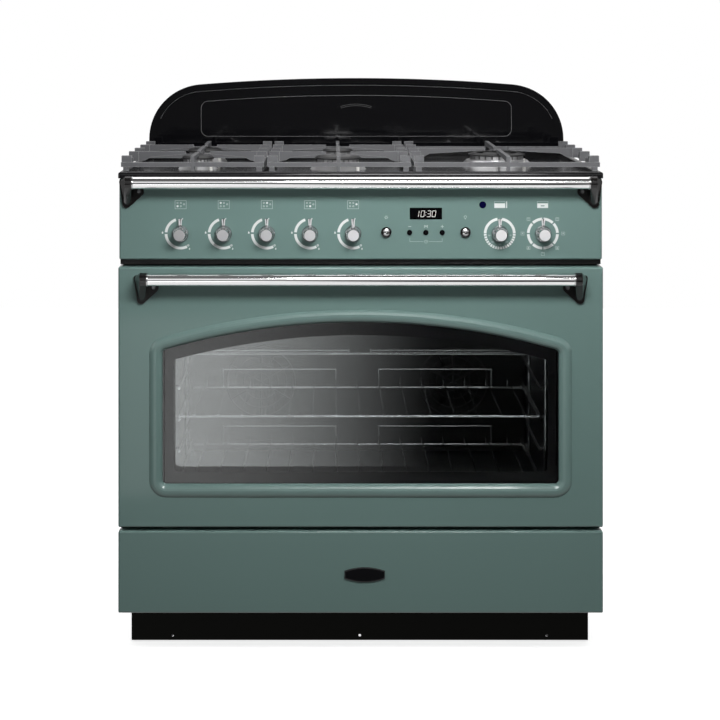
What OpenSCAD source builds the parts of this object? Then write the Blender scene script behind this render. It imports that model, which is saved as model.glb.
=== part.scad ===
// Dual fuel range cooker, 90 cm wide: five gas burners over one wide electric
// oven with a drop-down door, a pan drawer below and a splashback behind.
// Millimetres. X runs to the right, the front faces -Y, Z is up from the floor.

/* [Overall] */
// Width of the cooker across the hob
body_w = 900; // [880:1:920]
// Depth of the body from the fascia face to the back panel
body_d = 600; // [590:1:620]
// Height of the hob edge above the floor
hob_h = 905; // [895:1:925]
// Reach of the rail and the door handle in front of the fascia
rail_reach = 48; // [44:1:54]
// Thickness of the pressed sheet steel
sheet = 1.5; // [1.2:0.1:2]

/* [Front, from the top down] */
// Height of the black hob edge
edge_h = 12; // [10:0.5:14]
// Height of the fascia
fascia_h = 151; // [146:0.5:156]
// Height of the vent gap under the fascia
vent_h = 13.5; // [12:0.5:16]
// Height of the oven door
door_h = 483.5; // [478:0.5:488]
// Gap between the door and the drawer front
drawer_gap = 6.5; // [5:0.5:9]
// Clear height under the drawer front
under_h = 86; // [82:1:92]
// How much narrower the fascia is at each side
fascia_inset = 2; // [1:0.5:4]
// Depth of the drawer front's returned edges
drawer_t = 20; // [16:1:24]
// Radius of the pressed front edges
press_r = 4; // [3:0.5:5]

/* [Oven door] */
// Thickness of the door
door_t = 45; // [42:1:50]
// Gap that the oven seal fills behind the door
seal_gap = 6; // [5:0.5:8]
// Width of the window inside its bead
win_w = 740; // [720:5:750]
// Height of the window at its centre
win_h = 303.5; // [290:0.5:310]
// Height of the window above the door's lower edge
win_lift = 78.5; // [72:0.5:84]
// Radius of the window's arched top
arch_r = 1330; // [1250:10:1600]
// Radius of the window's corners
win_r = 10; // [8:1:14]
// Width of the pressed bead round the window
bead_w = 22.5; // [20:0.5:25]
// Height of the pressed bead
bead_h = 6; // [5:0.5:7]
// How far the outer glass lies behind the door face
glass_sink = 5; // [4:0.5:7]
// Thickness of the door glasses
glass_t = 4; // [3:0.5:5]

/* [Door hinge] */
// Height of the hinge pins above the door's lower edge
pin_lift = 11; // [10:0.5:12]
// Depth of the hinge pins behind the door face
pin_sink = 10; // [9:0.5:11]
// Diameter of the hinge pins
pin_d = 8; // [6:0.5:8]
// Distance of each hinge arm from the middle
hinge_x = 408; // [404:1:412]
// Thickness of a hinge arm
arm_t = 4; // [3:0.5:5]

/* [Rails and handles] */
// Diameter of the rail tubes
tube_d = 22.4; // [20:0.2:24]
// Wall of the rail tubes
tube_wall = 1.2; // [1:0.1:2]
// Distance of the handrail axis below the hob edge
rail_drop = 17.6; // [16:0.2:20]
// Distance of the door handle axis below the door's upper edge
handle_drop = 19; // [17:0.5:24]
// Distance of the handrail brackets' outer edges from the middle
rail_out = 447.5; // [438:0.5:448]
// Distance of the door handle brackets' outer edges from the middle
handle_out = 420.5; // [410:0.5:440]

/* [Oven] */
// Inner width of the oven
cavity_w = 716; // [700:1:722]
// Inner height of the oven
cavity_h = 395; // [385:1:400]
// Inner depth of the oven to its back wall
cavity_d = 437; // [425:1:450]
// Height of the oven floor above the door's lower edge
cavity_lift = 30; // [28:1:34]
// Space for the fans behind the liner
fan_space = 38; // [34:1:42]
// Distance of each fan from the middle
fan_x = 203; // [195:1:210]
// Height of the fan axes above the oven floor
fan_rise = 150; // [140:1:165]
// Diameter of the fan wheels
fan_d = 120; // [110:1:130]
// Height of the middle shelf above the oven floor
shelf_rise = 163; // [155:1:170]
// Height from one shelf to the next
shelf_pitch = 119; // [114:1:122]
// Diameter of the heavier oven wires
wire_d = 5.6; // [4.8:0.2:6]
// Diameter of the thin shelf wires
thin_wire_d = 3; // [2.6:0.2:3.6]

/* [Fascia controls] */
// Height of the knob axes above the fascia's lower edge
knob_rise = 48.5; // [46:0.5:54]
// Position of the leftmost burner knob
burner_knob_x = -334; // [-340:1:-330]
// Spacing of the burner knobs
knob_pitch = 80; // [76:1:82]
// Position of the oven temperature knob
temp_x = 258; // [254:1:262]
// Position of the oven function knob
func_x = 338; // [334:1:342]
// Diameter of the knob skirts
skirt_d = 31; // [29:0.5:33]
// Diameter of the knob grips
grip_d = 24; // [22:0.5:26]
// Reach of the knobs in front of the fascia
knob_l = 33; // [30:1:36]
// Diameter of the valve spindles
spindle_d = 8; // [6:0.5:9]
// Travel of a burner knob when it is pressed
press_travel = 3; // [2:0.5:3.5]
// Diameter of the chrome push buttons
button_d = 19.4; // [18:0.2:22]
// Travel of the chrome push buttons
button_travel = 2.5; // [2:0.5:3]
// Positions of the ignition and light buttons
button_x = [47.5, 194.2];
// Centre of the clock
clock_x = 121; // [119:1:123]
// Width of the clock window
window_w = 60; // [56:1:64]
// Height of the clock window
window_h = 21.7; // [20:0.1:24]
// Spacing of the clock buttons
clock_pitch = 30.3; // [28:0.1:32]
// Diameter of the clock buttons
clock_button_d = 9.5; // [8:0.5:10]
// Diameter of the oven indicator
indicator_d = 13; // [11:0.5:14]

/* [Hob] */
// Width of the hob's raised rim
rim_w = 16; // [14:1:20]
// Depth of the hob surface below its rim
well_drop = 7; // [6:0.5:8]
// Depth of the left and middle front burners behind the fascia face
front_burner_t = 160; // [154:1:165]
// Depth of the left and middle rear burners
rear_burner_t = 360; // [354:1:365]
// Depth of the wok burner
wok_t = 260; // [254:1:266]
// Burner columns from left to right
burner_x = [-314, -41, 277];
// Radius of the small burner caps
small_cap_r = 30; // [27:1:33]
// Radius of the medium burner caps
medium_cap_r = 38; // [35:1:41]
// Radius of the large front burner cap
large_cap_r = 47; // [44:1:50]
// Radius of the wok burner
wok_r = 62; // [58:1:66]

/* [Pan supports] */
// Height of the pan supports above the hob edge
pan_rise = 27; // [25:0.5:30]
// Depth of the pan supports from front to back
grate_d = 460; // [450:1:470]
// Distance of the pan supports behind the fascia face
grate_t = 26; // [22:1:30]
// Side of the square frame bars
bar_s = 8.5; // [7:0.5:9]
// Thickness of the cast fingers
finger_t = 7; // [6:0.5:9]
// Width of the raised pads
pad_w = 19; // [16:0.5:21]
// Clearance between neighbouring pan supports
grate_gap = 6; // [4:0.5:9]

/* [Splashback] */
// Height of the splashback above the hob edge at its centre
splash_h = 159; // [150:1:170]
// Radius of the splashback's shoulders
shoulder_r = 118; // [110:1:124]
// Drop of the splashback's top line from the centre to its shoulders
splash_drop = 13; // [10:0.5:16]
// Thickness of the splashback pressing
splash_t = 29; // [24:1:32]
// Distance of the splashback's back from the back of the cooker
splash_back = 26; // [20:1:30]
// Width of the rolled band along the splashback's outline
band_w = 14; // [12:0.5:16]
// Width of the splashback's pressed panel
panel_w = 680; // [640:5:690]
// Rise of the pressed panel's arched top
panel_rise = 14; // [10:0.5:16]
// Distance of the pressed panel below the splashback's top
panel_drop = 34; // [30:0.5:40]
// Height of the pressed panel above the hob edge
panel_lift = 30; // [26:0.5:36]
// Radius of the pressed panel's corners
panel_r = 18; // [14:1:22]

/* [Base and drawer] */
// Width of the plinth
plinth_w = 872; // [862:1:876]
// Distance of the plinth behind the drawer face
plinth_recess = 95; // [85:1:105]
// Travel of the drawer
drawer_travel = 380; // [340:5:385]
// Height of the drawer box walls
drawer_wall = 96; // [80:1:105]
// Depth of the drawer box
drawer_l = 430; // [420:5:450]
// Diameter of the rear rollers
roller_d = 50; // [44:1:54]
// Diameter of the roller axles
axle_d = 8; // [7:0.5:10]

/* [Clearances] */
// Radial clearance of everything that turns or slides on a pin
run_clear = 0.05; // [0.03:0.01:0.08]
// Clearance between parts that slide on flat faces
slide_clear = 0.3; // [0.3:0.05:0.5]

/* [Hidden] */
// Overall places
face_y = -(body_d + rail_reach) / 2 + rail_reach;
back_y = face_y + body_d;
half_w = body_w / 2;
fascia_top = hob_h - edge_h;
fascia_bot = fascia_top - fascia_h;
door_top = fascia_bot - vent_h;
door_bot = door_top - door_h;
drawer_top = door_bot - drawer_gap;
frame_y = face_y + door_t + seal_gap;
side_x = half_w - 3;
inner_x = side_x - sheet;
base_top = under_h - 2;
base_h = 34;
base_bot = base_top - base_h;
plinth_y = face_y + plinth_recess;
base_x = plinth_w / 2 - sheet;
// Fine facets for the very large arcs and normal ones elsewhere
big_fn = 256;
mid_fn = 64;
// Oven
oven_x = cavity_w / 2;
oven_bot = door_bot + cavity_lift;
oven_top = oven_bot + cavity_h;
oven_front = frame_y + sheet;
oven_back = oven_front + cavity_d;
liner_y = oven_back - fan_space;
liner_x = oven_x - 3;
fan_z = oven_bot + fan_rise;
shelf_front = face_y + 75;
shelf_back = liner_y - 40;
shelf_z = [for (i = [-1:1]) oven_bot + shelf_rise + i * shelf_pitch];
rack_x = oven_x - wire_d / 2;
rung_x = oven_x - 15;
element_r = fan_d / 2 + 12;
lamp_d = 36;
lamp_x = oven_x - 60;
lamp_z = oven_top - 60;
// Shelves: pitch and sink of the thin wires, and the backstop loops and dip measured from the middle
thin_pitch = 44.8;
thin_sink = 0.8;
loop_out = 280;
dip_half = 21;
rear_drop = 14;
backstop_h = 38;
shaft_d = 8;
motor_d = 72;
motor_l = 46;
element_d = 6.5;
grill_z = oven_top - 16;
// Door
win_bot = door_bot + win_lift;
bead_mid = bead_w / 2;
bead_r = (bead_mid * bead_mid + bead_h * bead_h) / (2 * bead_h);
door_lap = door_t / 2 + 3;
pin_y = face_y + pin_sink;
pin_z = door_bot + pin_lift;
slot_half = arm_t / 2 + 6;
arm_half = 5.5;
arm_end = 6.5;
cheek_t = 3;
cheek_gap = arm_t / 2 + 2;
glass_x = win_w / 2 + 16;
glass_front = face_y + glass_sink;
inner_face = face_y + door_t;
pan_slope = 1.8;
pan_slope_h = 7.5;
inner_win_w = win_w - 12;
inner_win_bot = win_bot - 6;
inner_win_top = win_bot + win_h + 6;
// Cross-section of the bead: a shallow arch of sheet whose inner foot reaches the glass
bead_cy = bead_h - bead_r;
bead_edge = asin(-(sheet + bead_cy) / bead_r);
bead_foot = asin(-(glass_sink + bead_cy) / bead_r);
inner_r = bead_r - sheet;
inner_edge = asin(-(sheet + bead_cy) / inner_r);
inner_foot = asin(-(glass_sink + bead_cy) / inner_r);
bead_profile = concat(
    arc(bead_mid, bead_cy, bead_r, bead_edge, 180 - bead_foot, 8),
    arc(bead_mid, bead_cy, inner_r, 180 - inner_foot, inner_edge, 5)
);
// The window outline as stations on its arcs
arch_zc = win_bot + win_h - arch_r;
corner_x = win_w / 2 - win_r;
corner_z = arch_zc + sqrt(pow(arch_r - win_r, 2) - corner_x * corner_x);
arch_half = asin(corner_x / (arch_r - win_r));
window_stations = concat(
    stations(corner_x, win_bot + win_r, win_r, -90, 0, 6),
    stations(corner_x, corner_z, win_r, 0, 90 - arch_half, 6),
    stations(0, arch_zc, arch_r, 90 - arch_half, 90 + arch_half, 32),
    stations(-corner_x, corner_z, win_r, 90 + arch_half, 180, 6),
    stations(-corner_x, win_bot + win_r, win_r, 180, 270, 6)
);
// Fascia
knob_z = fascia_bot + knob_rise;
fascia_w = body_w - 2 * fascia_inset;
fascia_depth = frame_y - face_y;
pattern_x = [for (i = [0:4]) burner_knob_x + i * knob_pitch];
skirt_gap = 4;
pointer_r = skirt_d / 2 + 12.5;
spindle_out = knob_l - 10;
spindle_in = 18;
valve_front = 5;
valve_l = 30;
clock_z = knob_z + 37;
clock_button_z = knob_z + 1.8;
button_z = knob_z + 3;
indicator = [temp_x - 31.7, knob_z + 53.3];
switch_front = 8;
switch_l = 34;
stem_d = 7;
clock_flange = 1.5;
clock_travel = 1;
dome_h = 3.2;
dome_r = (button_d * button_d / 4 + dome_h * dome_h) / (2 * dome_h);
// Hob
well_z = hob_h - well_drop;
hob_over = 4;
edge_r = 5.5;
pan_z = hob_h + pan_rise;
hob_back = back_y - splash_back - splash_t;
crown_z = well_z + 11;
crown_h = 9;
cap_h = 6;
burners = [
    [burner_x[0], front_burner_t, small_cap_r + 3],
    [burner_x[0], rear_burner_t, medium_cap_r],
    [burner_x[1], rear_burner_t, small_cap_r + 3],
    [burner_x[1], front_burner_t, large_cap_r],
    [burner_x[2], wok_t, wok_r]
];
wok_inner_r = wok_r * 0.45;
base_out = 1.16;
jet_z = fascia_top - 38;
jet_r = 14;
inlet_x = -half_w + 70;
inlet_d = 21;
cable_x = half_w - 110;
cable_d = 22;
bracket_hole_d = 6.5;
// Pan supports
grate_edges = [
    -half_w + 2,
    (burner_x[0] + burner_x[1]) / 2,
    (burner_x[1] + burner_x[2]) / 2 - 20.5,
    half_w - 2
];
grate_y = face_y + grate_t;
bar_z = pan_z - 20;
finger_clear = 24;
// Splashback
splash_top = hob_h + splash_h;
splash_y = hob_back;
// Rails
socket_d = tube_d + 3;
tube_inset = 19;
rail_y = face_y - rail_reach + socket_d / 2;
rail_z = hob_h - rail_drop;
handle_z = door_top - handle_drop;
// Base
foot_x = base_x - 55;
foot_y = plinth_y + 42;
foot_d = 44;
foot_rod_d = 12;
foot_boss_d = 26;
roller_x = foot_x;
roller_y = back_y - 60;
roller_w = 22;
drawer_x = inner_x - 36;
drawer_floor = under_h + 6;
runner_z = drawer_floor + 62;
runner_h = 24;
runner_t = 4;

// Puts a drawing on the fascia plane: x stays, y becomes height, z points to the viewer
module front(out = 0) {
    translate([0, face_y - out, 0]) rotate([90, 0, 0]) children();
}

// A box between two corners
module block(x0, x1, y0, y1, z0, z1) {
    translate([x0, y0, z0]) cube([x1 - x0, y1 - y0, z1 - z0]);
}

// The right-hand piece and its mirror image
module both_sides() {
    children();
    mirror([1, 0, 0]) children();
}

// A straight wire between two points of a line along X, Y or Z
module wire_x(x0, x1, y, z, d) {
    translate([x0, y, z]) rotate([0, 90, 0]) cylinder(d = d, h = x1 - x0, $fn = 24);
}

module wire_y(y0, y1, x, z, d) {
    translate([x, y0, z]) rotate([-90, 0, 0]) cylinder(d = d, h = y1 - y0, $fn = 24);
}

module wire_z(z0, z1, x, y, d) {
    translate([x, y, z0]) cylinder(d = d, h = z1 - z0, $fn = 24);
}

// A flat rectangle with round corners, centred on X and standing on y0
module round_rect(w, y0, y1, r) {
    translate([-w / 2 + r, y0]) square([w - 2 * r, y1 - y0]);
    translate([-w / 2, y0 + r]) square([w, y1 - y0 - 2 * r]);
    for (x = [-w / 2 + r, w / 2 - r], y = [y0 + r, y1 - r]) translate([x, y]) circle(r, $fn = 48);
}

// A block whose four front edges and corners are round; z = 0 is its face
module soft_block(w, y0, y1, depth, r) {
    intersection() {
        translate([0, 0, -depth]) linear_extrude(depth) round_rect(w, y0, y1, r);
        translate([-w / 2, 0, 0]) rotate([90, 0, 90]) linear_extrude(w) round_side(depth, y0, y1, r);
        translate([0, y1, 0]) rotate([90, 0, 0]) linear_extrude(y1 - y0) round_top(w, depth, r);
    }
}

// Side and top views of a soft block
module round_side(depth, y0, y1, r) {
    translate([y0, -depth]) square([y1 - y0, depth - r]);
    translate([y0 + r, -depth]) square([y1 - y0 - 2 * r, depth]);
    for (y = [y0 + r, y1 - r]) translate([y, -r]) circle(r, $fn = 48);
}

module round_top(w, depth, r) {
    translate([-w / 2, -depth]) square([w, depth - r]);
    translate([-w / 2 + r, -depth]) square([w - 2 * r, depth]);
    for (x = [-w / 2 + r, w / 2 - r]) translate([x, -r]) circle(r, $fn = 48);
}

// A pressed front panel: a soft block hollowed out from behind
module pressed_front(w, y0, y1, depth, r, wall) {
    difference() {
        soft_block(w, y0, y1, depth, r);
        translate([0, 0, -wall]) soft_block(w - 2 * wall, y0 + wall, y1 - wall, depth, r - wall / 2);
    }
}

// Points on an arc, from one angle to another
function arc(cx, cy, r, a0, a1, n) =
    [for (i = [0:n]) let (a = a0 + (a1 - a0) * i / n) [cx + r * cos(a), cy + r * sin(a)]];

// The arched window's outline as stations on its arcs: [centre x, centre y, radius, angle]
function stations(cx, cy, r, a0, a1, n) = [for (i = [0:n]) [cx, cy, r, a0 + (a1 - a0) * i / n]];
// A point of the outline, moved outwards by g
function station_point(s, g) = [s[0] + (s[2] + g) * cos(s[3]), s[1] + (s[2] + g) * sin(s[3])];
function arched_outline(g) = [for (s = window_stations) station_point(s, g)];

// Sweeps a closed profile (x outwards, y to the viewer) round the window's outline
module arched_sweep(profile) {
    n = len(profile);
    m = len(window_stations);
    points = [for (s = window_stations, p = profile) let (q = station_point(s, p[0])) [q[0], q[1], p[1]]];
    faces = [for (i = [0:m - 1], j = [0:n - 1]) let (i2 = (i + 1) % m, j2 = (j + 1) % n)
        [i * n + j, i * n + j2, i2 * n + j2, i2 * n + j]];
    polyhedron(points, faces, convexity = 6);
}

// Folded base under the body: a downturned tray with a boss for each front foot
module base_frame() color("dimgray") {
    difference() {
        union() {
            difference() {
                block(-base_x, base_x, plinth_y + sheet, back_y - sheet, base_bot, base_top);
                block(-base_x + sheet, base_x - sheet, plinth_y + 2 * sheet, back_y - 2 * sheet,
                    base_bot - 1, base_top - sheet);
            }
            for (x = [-foot_x, foot_x]) translate([x, foot_y, base_bot])
                cylinder(d = foot_boss_d, h = base_h - sheet / 2, $fn = mid_fn);
        }
        for (x = [-foot_x, foot_x]) translate([x, foot_y, base_bot - 1])
            cylinder(d = foot_rod_d + 2 * slide_clear, h = base_h - sheet, $fn = mid_fn);
        for (x = [-200, 0, 200]) translate([x, plinth_y + 220, base_bot])
            linear_extrude(base_h + 1) round_rect(120, -80, 80, 30);
    }
}

// Front levelling feet and the forks of the rear rollers
module feet() color("dimgray") {
    both_sides() {
        translate([foot_x, foot_y, 0]) {
            cylinder(d1 = foot_d, d2 = foot_d - 6, h = 10, $fn = mid_fn);
            cylinder(d = foot_rod_d, h = base_top - 6, $fn = 32);
            translate([0, 0, base_bot - 8]) cylinder(d = 22, h = 8, $fn = 6);
        }
        difference() {
            block(roller_x - roller_w / 2 - 4, roller_x + roller_w / 2 + 4, roller_y - 20, roller_y + 20,
                roller_d / 2 - 9, base_top - sheet);
            block(roller_x - roller_w / 2 - slide_clear, roller_x + roller_w / 2 + slide_clear,
                roller_y - 30, roller_y + 30, 0, roller_d + 6);
            for (s = [-1, 1]) translate([roller_x, roller_y + s * 26, roller_d / 2 + 2])
                rotate([0, 90, 0]) cylinder(d = 26, h = 60, center = true, $fn = 32);
        }
        wire_x(roller_x - roller_w / 2 - 6, roller_x + roller_w / 2 + 6, roller_y, roller_d / 2, axle_d);
    }
}

// One rear roller, turning on its axle
module rear_roller(side) color("dimgray") {
    translate([side * roller_x, roller_y, roller_d / 2]) rotate([0, 90, 0]) difference() {
        union() {
            cylinder(d = roller_d, h = roller_w - 4, center = true, $fn = mid_fn);
            cylinder(d = roller_d - 4, h = roller_w, center = true, $fn = mid_fn);
        }
        cylinder(d = axle_d + 2 * run_clear, h = roller_w + 2, center = true, $fn = mid_fn);
        for (s = [-1, 1]) translate([0, 0, s * roller_w / 2]) difference() {
            cylinder(d = roller_d - 12, h = 4, center = true, $fn = mid_fn);
            cylinder(d = axle_d + 8, h = 5, center = true, $fn = mid_fn);
        }
    }
}

// Recessed plinth wrapped round the front of the base
module plinth() color([0.07, 0.06, 0.05]) {
    difference() {
        union() {
            block(-base_x - sheet, base_x + sheet, plinth_y, plinth_y + sheet, 3, base_top);
            for (s = [-1, 1]) translate([s * (base_x + sheet / 2), 0, 0])
                block(-sheet / 2, sheet / 2, plinth_y, back_y - 60, 3, base_top);
        }
        front() for (x = [-plinth_w * 0.41, 0, plinth_w * 0.41]) translate([x, 12, -plinth_recess - 10])
            cylinder(d = 5, h = 20, $fn = 24);
    }
}

// Side panels, folded in at the bottom and back, with a set-in tongue that carries the hob's rim
module side_panels() color([0.33, 0.42, 0.4]) {
    low_y = face_y + drawer_t + 4;
    tongue_h = 12;
    both_sides() {
        translate([inner_x, 0, 0]) rotate([90, 0, 90]) linear_extrude(sheet) polygon([
            [low_y, base_top],
            [back_y, base_top],
            [back_y, fascia_top - slide_clear],
            [frame_y, fascia_top - slide_clear],
            [frame_y, drawer_top + 1],
            [low_y, drawer_top + 1]
        ]);
        block(base_x - 24, side_x - sheet / 2, plinth_y + 10, back_y, base_top, base_top + sheet);
        block(inner_x - sheet / 2, inner_x + sheet / 2, frame_y, back_y - 12,
            fascia_top - slide_clear - tongue_h, hob_h - sheet);
        block(inner_x - 8, inner_x + sheet / 2, frame_y + 20, back_y - 20, hob_h - 2 * sheet, hob_h - sheet);
        block(inner_x - 20, side_x - sheet / 2, back_y - 2 * sheet, back_y - sheet,
            base_top + sheet / 2, fascia_top - sheet / 2);
    }
}

// Back panel with cooling slots and holes for the gas inlet and the mains cable
module back_panel() color("silver") {
    difference() {
        block(-inner_x, inner_x, back_y - sheet, back_y, base_top + sheet, fascia_top - sheet);
        translate([0, back_y, 0]) rotate([90, 0, 0]) {
            for (row = [0:2], i = [-7:7]) translate([i * 46, fascia_top - 60 - row * 16, -1])
                linear_extrude(4) round_rect(34, 0, 6, 2.9);
            translate([inlet_x, jet_z, -1]) cylinder(d = 30, h = 4, $fn = mid_fn);
            translate([cable_x, base_top + 70, -1]) cylinder(d = cable_d, h = 4, $fn = mid_fn);
            for (x = [-60, 60], z = [0, 40]) translate([x, base_top + 60 + z, -1])
                cylinder(d = bracket_hole_d, h = 4, $fn = 32);
        }
    }
}

// Enamelled oven liner box, open at the front
module oven_cavity() color([0.2, 0.2, 0.21]) {
    difference() {
        block(-oven_x - sheet, oven_x + sheet, oven_front, oven_back + sheet,
            oven_bot - sheet, oven_top + sheet);
        block(-oven_x, oven_x, oven_front - 1, oven_back, oven_bot, oven_top);
        for (x = [-fan_x, fan_x]) {
            wire_y(oven_back - 1, oven_back + 3, x, fan_z, shaft_d + 4);
            for (a = [-12, 12])
                wire_y(oven_back - 1, oven_back + 3, x + a, fan_z - element_r, element_d + 2 * slide_clear);
        }
        for (a = [-30, 30]) wire_y(oven_back - 1, oven_back + 3, a, grill_z, element_d + 2 * slide_clear);
        wire_y(oven_back - 1, oven_back + 3, lamp_x, lamp_z, lamp_d + 2 * slide_clear);
    }
}

// Flat frame round the oven mouth, with the vent trim under the fascia
module oven_front_frame() color([0.12, 0.12, 0.12]) {
    trim_y = face_y + 12;
    front() translate([0, 0, -fascia_depth - sheet]) linear_extrude(sheet) difference() {
        translate([-inner_x, drawer_top + 1.5]) square([2 * inner_x, fascia_bot - drawer_top - 1.5]);
        translate([-oven_x, oven_bot]) square([cavity_w, cavity_h]);
    }
    block(-inner_x, inner_x, frame_y, frame_y + 60, drawer_top + 1.5, drawer_top + 1.5 + sheet);
    difference() {
        block(-side_x, side_x, trim_y, frame_y, door_top + 3.5, fascia_bot);
        block(-side_x + 2 * sheet, side_x - 2 * sheet, trim_y + sheet, frame_y + 1, door_top,
            fascia_bot - sheet);
        for (i = [-13:13])
            block(i * 32 - 12, i * 32 + 12, trim_y + 10, trim_y + 16, fascia_bot - 4, fascia_bot + 1);
    }
}

// Pressed liner in front of the fans, with a guard of slots over each fan
module oven_back_liner() color([0.25, 0.25, 0.26]) {
    difference() {
        union() {
            difference() {
                block(-liner_x, liner_x, liner_y, oven_back, oven_bot + 4, oven_top - 30);
                block(-liner_x + sheet, liner_x - sheet, liner_y + sheet, oven_back + 1,
                    oven_bot + 4 + sheet, oven_top - 30 - sheet);
            }
            for (x = [-fan_x, fan_x]) translate([x, liner_y, fan_z]) rotate([90, 0, 0])
                cylinder(d1 = fan_d + 28, d2 = fan_d + 20, h = 3, $fn = mid_fn);
        }
        for (x = [-fan_x, fan_x]) translate([x, liner_y, fan_z]) rotate([90, 0, 0]) {
            translate([0, 0, -1 - sheet]) cylinder(d = fan_d + 18, h = 1 + sheet + 3 - sheet, $fn = mid_fn);
            for (a = [0:30:330]) rotate(a) {
                translate([18, -2.5, 0]) cube([14, 5, 5]);
                translate([38, -3, 0]) cube([24, 6, 5]);
            }
        }
        for (s = [-1, 1], z = [oven_bot + 16, oven_top - 60]) translate([s * (liner_x - 70), liner_y + 4, z])
            rotate([90, 0, 0]) linear_extrude(8) round_rect(80, 0, 9, 4.4);
        translate([lamp_x, liner_y, lamp_z]) cube([lamp_d + 24, 8, lamp_d + 24], center = true);
    }
}

// Seal round the oven mouth, clipped to the front frame
module door_seal() color([0.1, 0.1, 0.1]) {
    seal_t = seal_gap - 2 * slide_clear;
    seal_in = 10;
    seal_out = 18;
    front() translate([0, 0, -fascia_depth]) difference() {
        linear_extrude(seal_t)
            round_rect(cavity_w + 2 * seal_out, oven_bot - seal_out, oven_top + seal_out, 12);
        translate([0, 0, -1]) linear_extrude(seal_t + 2)
            round_rect(cavity_w + 2 * seal_in, oven_bot - seal_in, oven_top + seal_in, 8);
    }
}

// Wire ladders on both oven walls: two uprights with rungs standing off them
module side_racks() color("silver") {
    y0 = shelf_front - 4;
    y1 = shelf_back - wire_d - 1;
    low = shelf_z[0] - wire_d * 1.5 - slide_clear;
    both_sides() {
        for (y = [y0 + 30, y1 - 30]) {
            wire_z(low - 20, shelf_z[2] + 50, rack_x, y, wire_d);
            for (i = [0:5]) wire_x(rung_x, rack_x, y, low + i * shelf_pitch / 2, wire_d - 0.6);
        }
        for (i = [0:5]) wire_y(y0, y1, rung_x, low + i * shelf_pitch / 2, wire_d);
    }
}

// Stiff frame of a wire shelf at height z, its back rail lowered by drop
module shelf_frame(z, drop) {
    rail_z = z - wire_d / 2;
    cross_d = wire_d - 0.4;
    wire_x(-rung_x, rung_x, shelf_front, rail_z, cross_d);
    wire_x(-rung_x, rung_x, shelf_back, rail_z - drop, cross_d);
    for (x = [-rung_x, rung_x]) {
        wire_y(shelf_front - wire_d / 2, shelf_back + wire_d / 2, x, rail_z, wire_d);
        if (drop > 0) wire_z(rail_z - drop - wire_d / 2, rail_z, x, shelf_back, wire_d - 0.2);
    }
}

// One wire shelf: thin wires over the frame and two backstop loops on its back rail
module shelf(z) {
    back_z = z - wire_d / 2 - rear_drop;
    loop_z = back_z + backstop_h;
    thin_z = z + thin_wire_d / 2 - thin_sink;
    post_d = thin_wire_d + 0.4;
    shelf_frame(z, rear_drop);
    for (i = [-7:7]) {
        wire_y(shelf_front - wire_d / 2, shelf_back, i * thin_pitch, thin_z, thin_wire_d);
        wire_z(back_z, thin_z + post_d / 2, i * thin_pitch, shelf_back, post_d - 0.1);
    }
    for (s = [-1, 1]) {
        for (x = [thin_pitch, loop_out]) wire_z(back_z, loop_z + post_d / 2, s * x, shelf_back, post_d);
        translate([s * (thin_pitch + loop_out) / 2, 0, 0])
            wire_x(-(loop_out - thin_pitch) / 2, (loop_out - thin_pitch) / 2, shelf_back, loop_z,
                thin_wire_d);
    }
}

// Two full shelves, and the open carrier of the grill pan whose front rail dips in the middle
module oven_shelves() color("gainsboro") {
    z = shelf_z[2];
    top_z = z - wire_d / 2 + 6.6;
    top_d = wire_d - 1.6;
    post_x = rung_x - 8;
    shelf(shelf_z[0]);
    shelf(shelf_z[1]);
    shelf_frame(z, 0);
    for (s = [-1, 1]) {
        translate([s * (post_x + dip_half) / 2, 0, 0])
            wire_x(-(post_x - dip_half) / 2, (post_x - dip_half) / 2, shelf_front, top_z, top_d);
        for (x = [dip_half, post_x])
            wire_z(z - wire_d / 2 - 1, top_z + wire_d / 2, s * x, shelf_front, top_d + 0.4);
    }
}

// Rod elements: the grill loops under the oven roof and a ring round each fan
module heating_elements() color("gray") {
    y0 = oven_front + 60;
    y1 = liner_y - 40;
    n = 5;
    step = 52;
    both_sides() {
        for (i = [0:n]) wire_y(y0, y1, 30 + i * step, grill_z, element_d);
        for (i = [0:2:n - 1]) translate([56 + i * step, y0, grill_z]) rotate([0, 0, 180]) half_ring(step / 2);
        for (i = [1:2:n - 1]) translate([56 + i * step, y1, grill_z]) half_ring(step / 2);
        wire_y(y1 - 1, oven_back + 12, 30, grill_z, element_d);
        for (y = [y0 + 30, y1 - 30])
            block(20, 38 + n * step, y - 3, y + 3, grill_z + element_d / 2 - 0.5, oven_top);
        translate([fan_x, liner_y + fan_space / 2, fan_z]) rotate([90, 0, 0]) rotate(-80)
            rotate_extrude(angle = 340, $fn = mid_fn)
                translate([element_r, 0]) circle(d = element_d, $fn = 24);
        for (a = [-12, 12])
            wire_y(liner_y + fan_space / 2, oven_back + 12, fan_x + a, fan_z - element_r, element_d);
    }
}

// Half of a round rod loop, open towards -Y
module half_ring(r) {
    rotate_extrude(angle = 180, $fn = 48) translate([r, 0]) circle(d = element_d, $fn = 24);
}

// Oven lamp with its glass dome, in the upper right of the back wall
module oven_lamp() color("white") {
    translate([lamp_x, oven_back - 12, lamp_z]) rotate([-90, 0, 0]) {
        cylinder(d = lamp_d, h = 12 + 34, $fn = mid_fn);
        cylinder(d = lamp_d - 8, h = 48, $fn = mid_fn);
        translate([0, 0, 12 + sheet]) cylinder(d = lamp_d + 10, h = 4, $fn = mid_fn);
        intersection() {
            sphere(d = lamp_d - 4, $fn = mid_fn);
            translate([0, 0, -20]) cylinder(d = lamp_d, h = 21, $fn = mid_fn);
        }
    }
}

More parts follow.
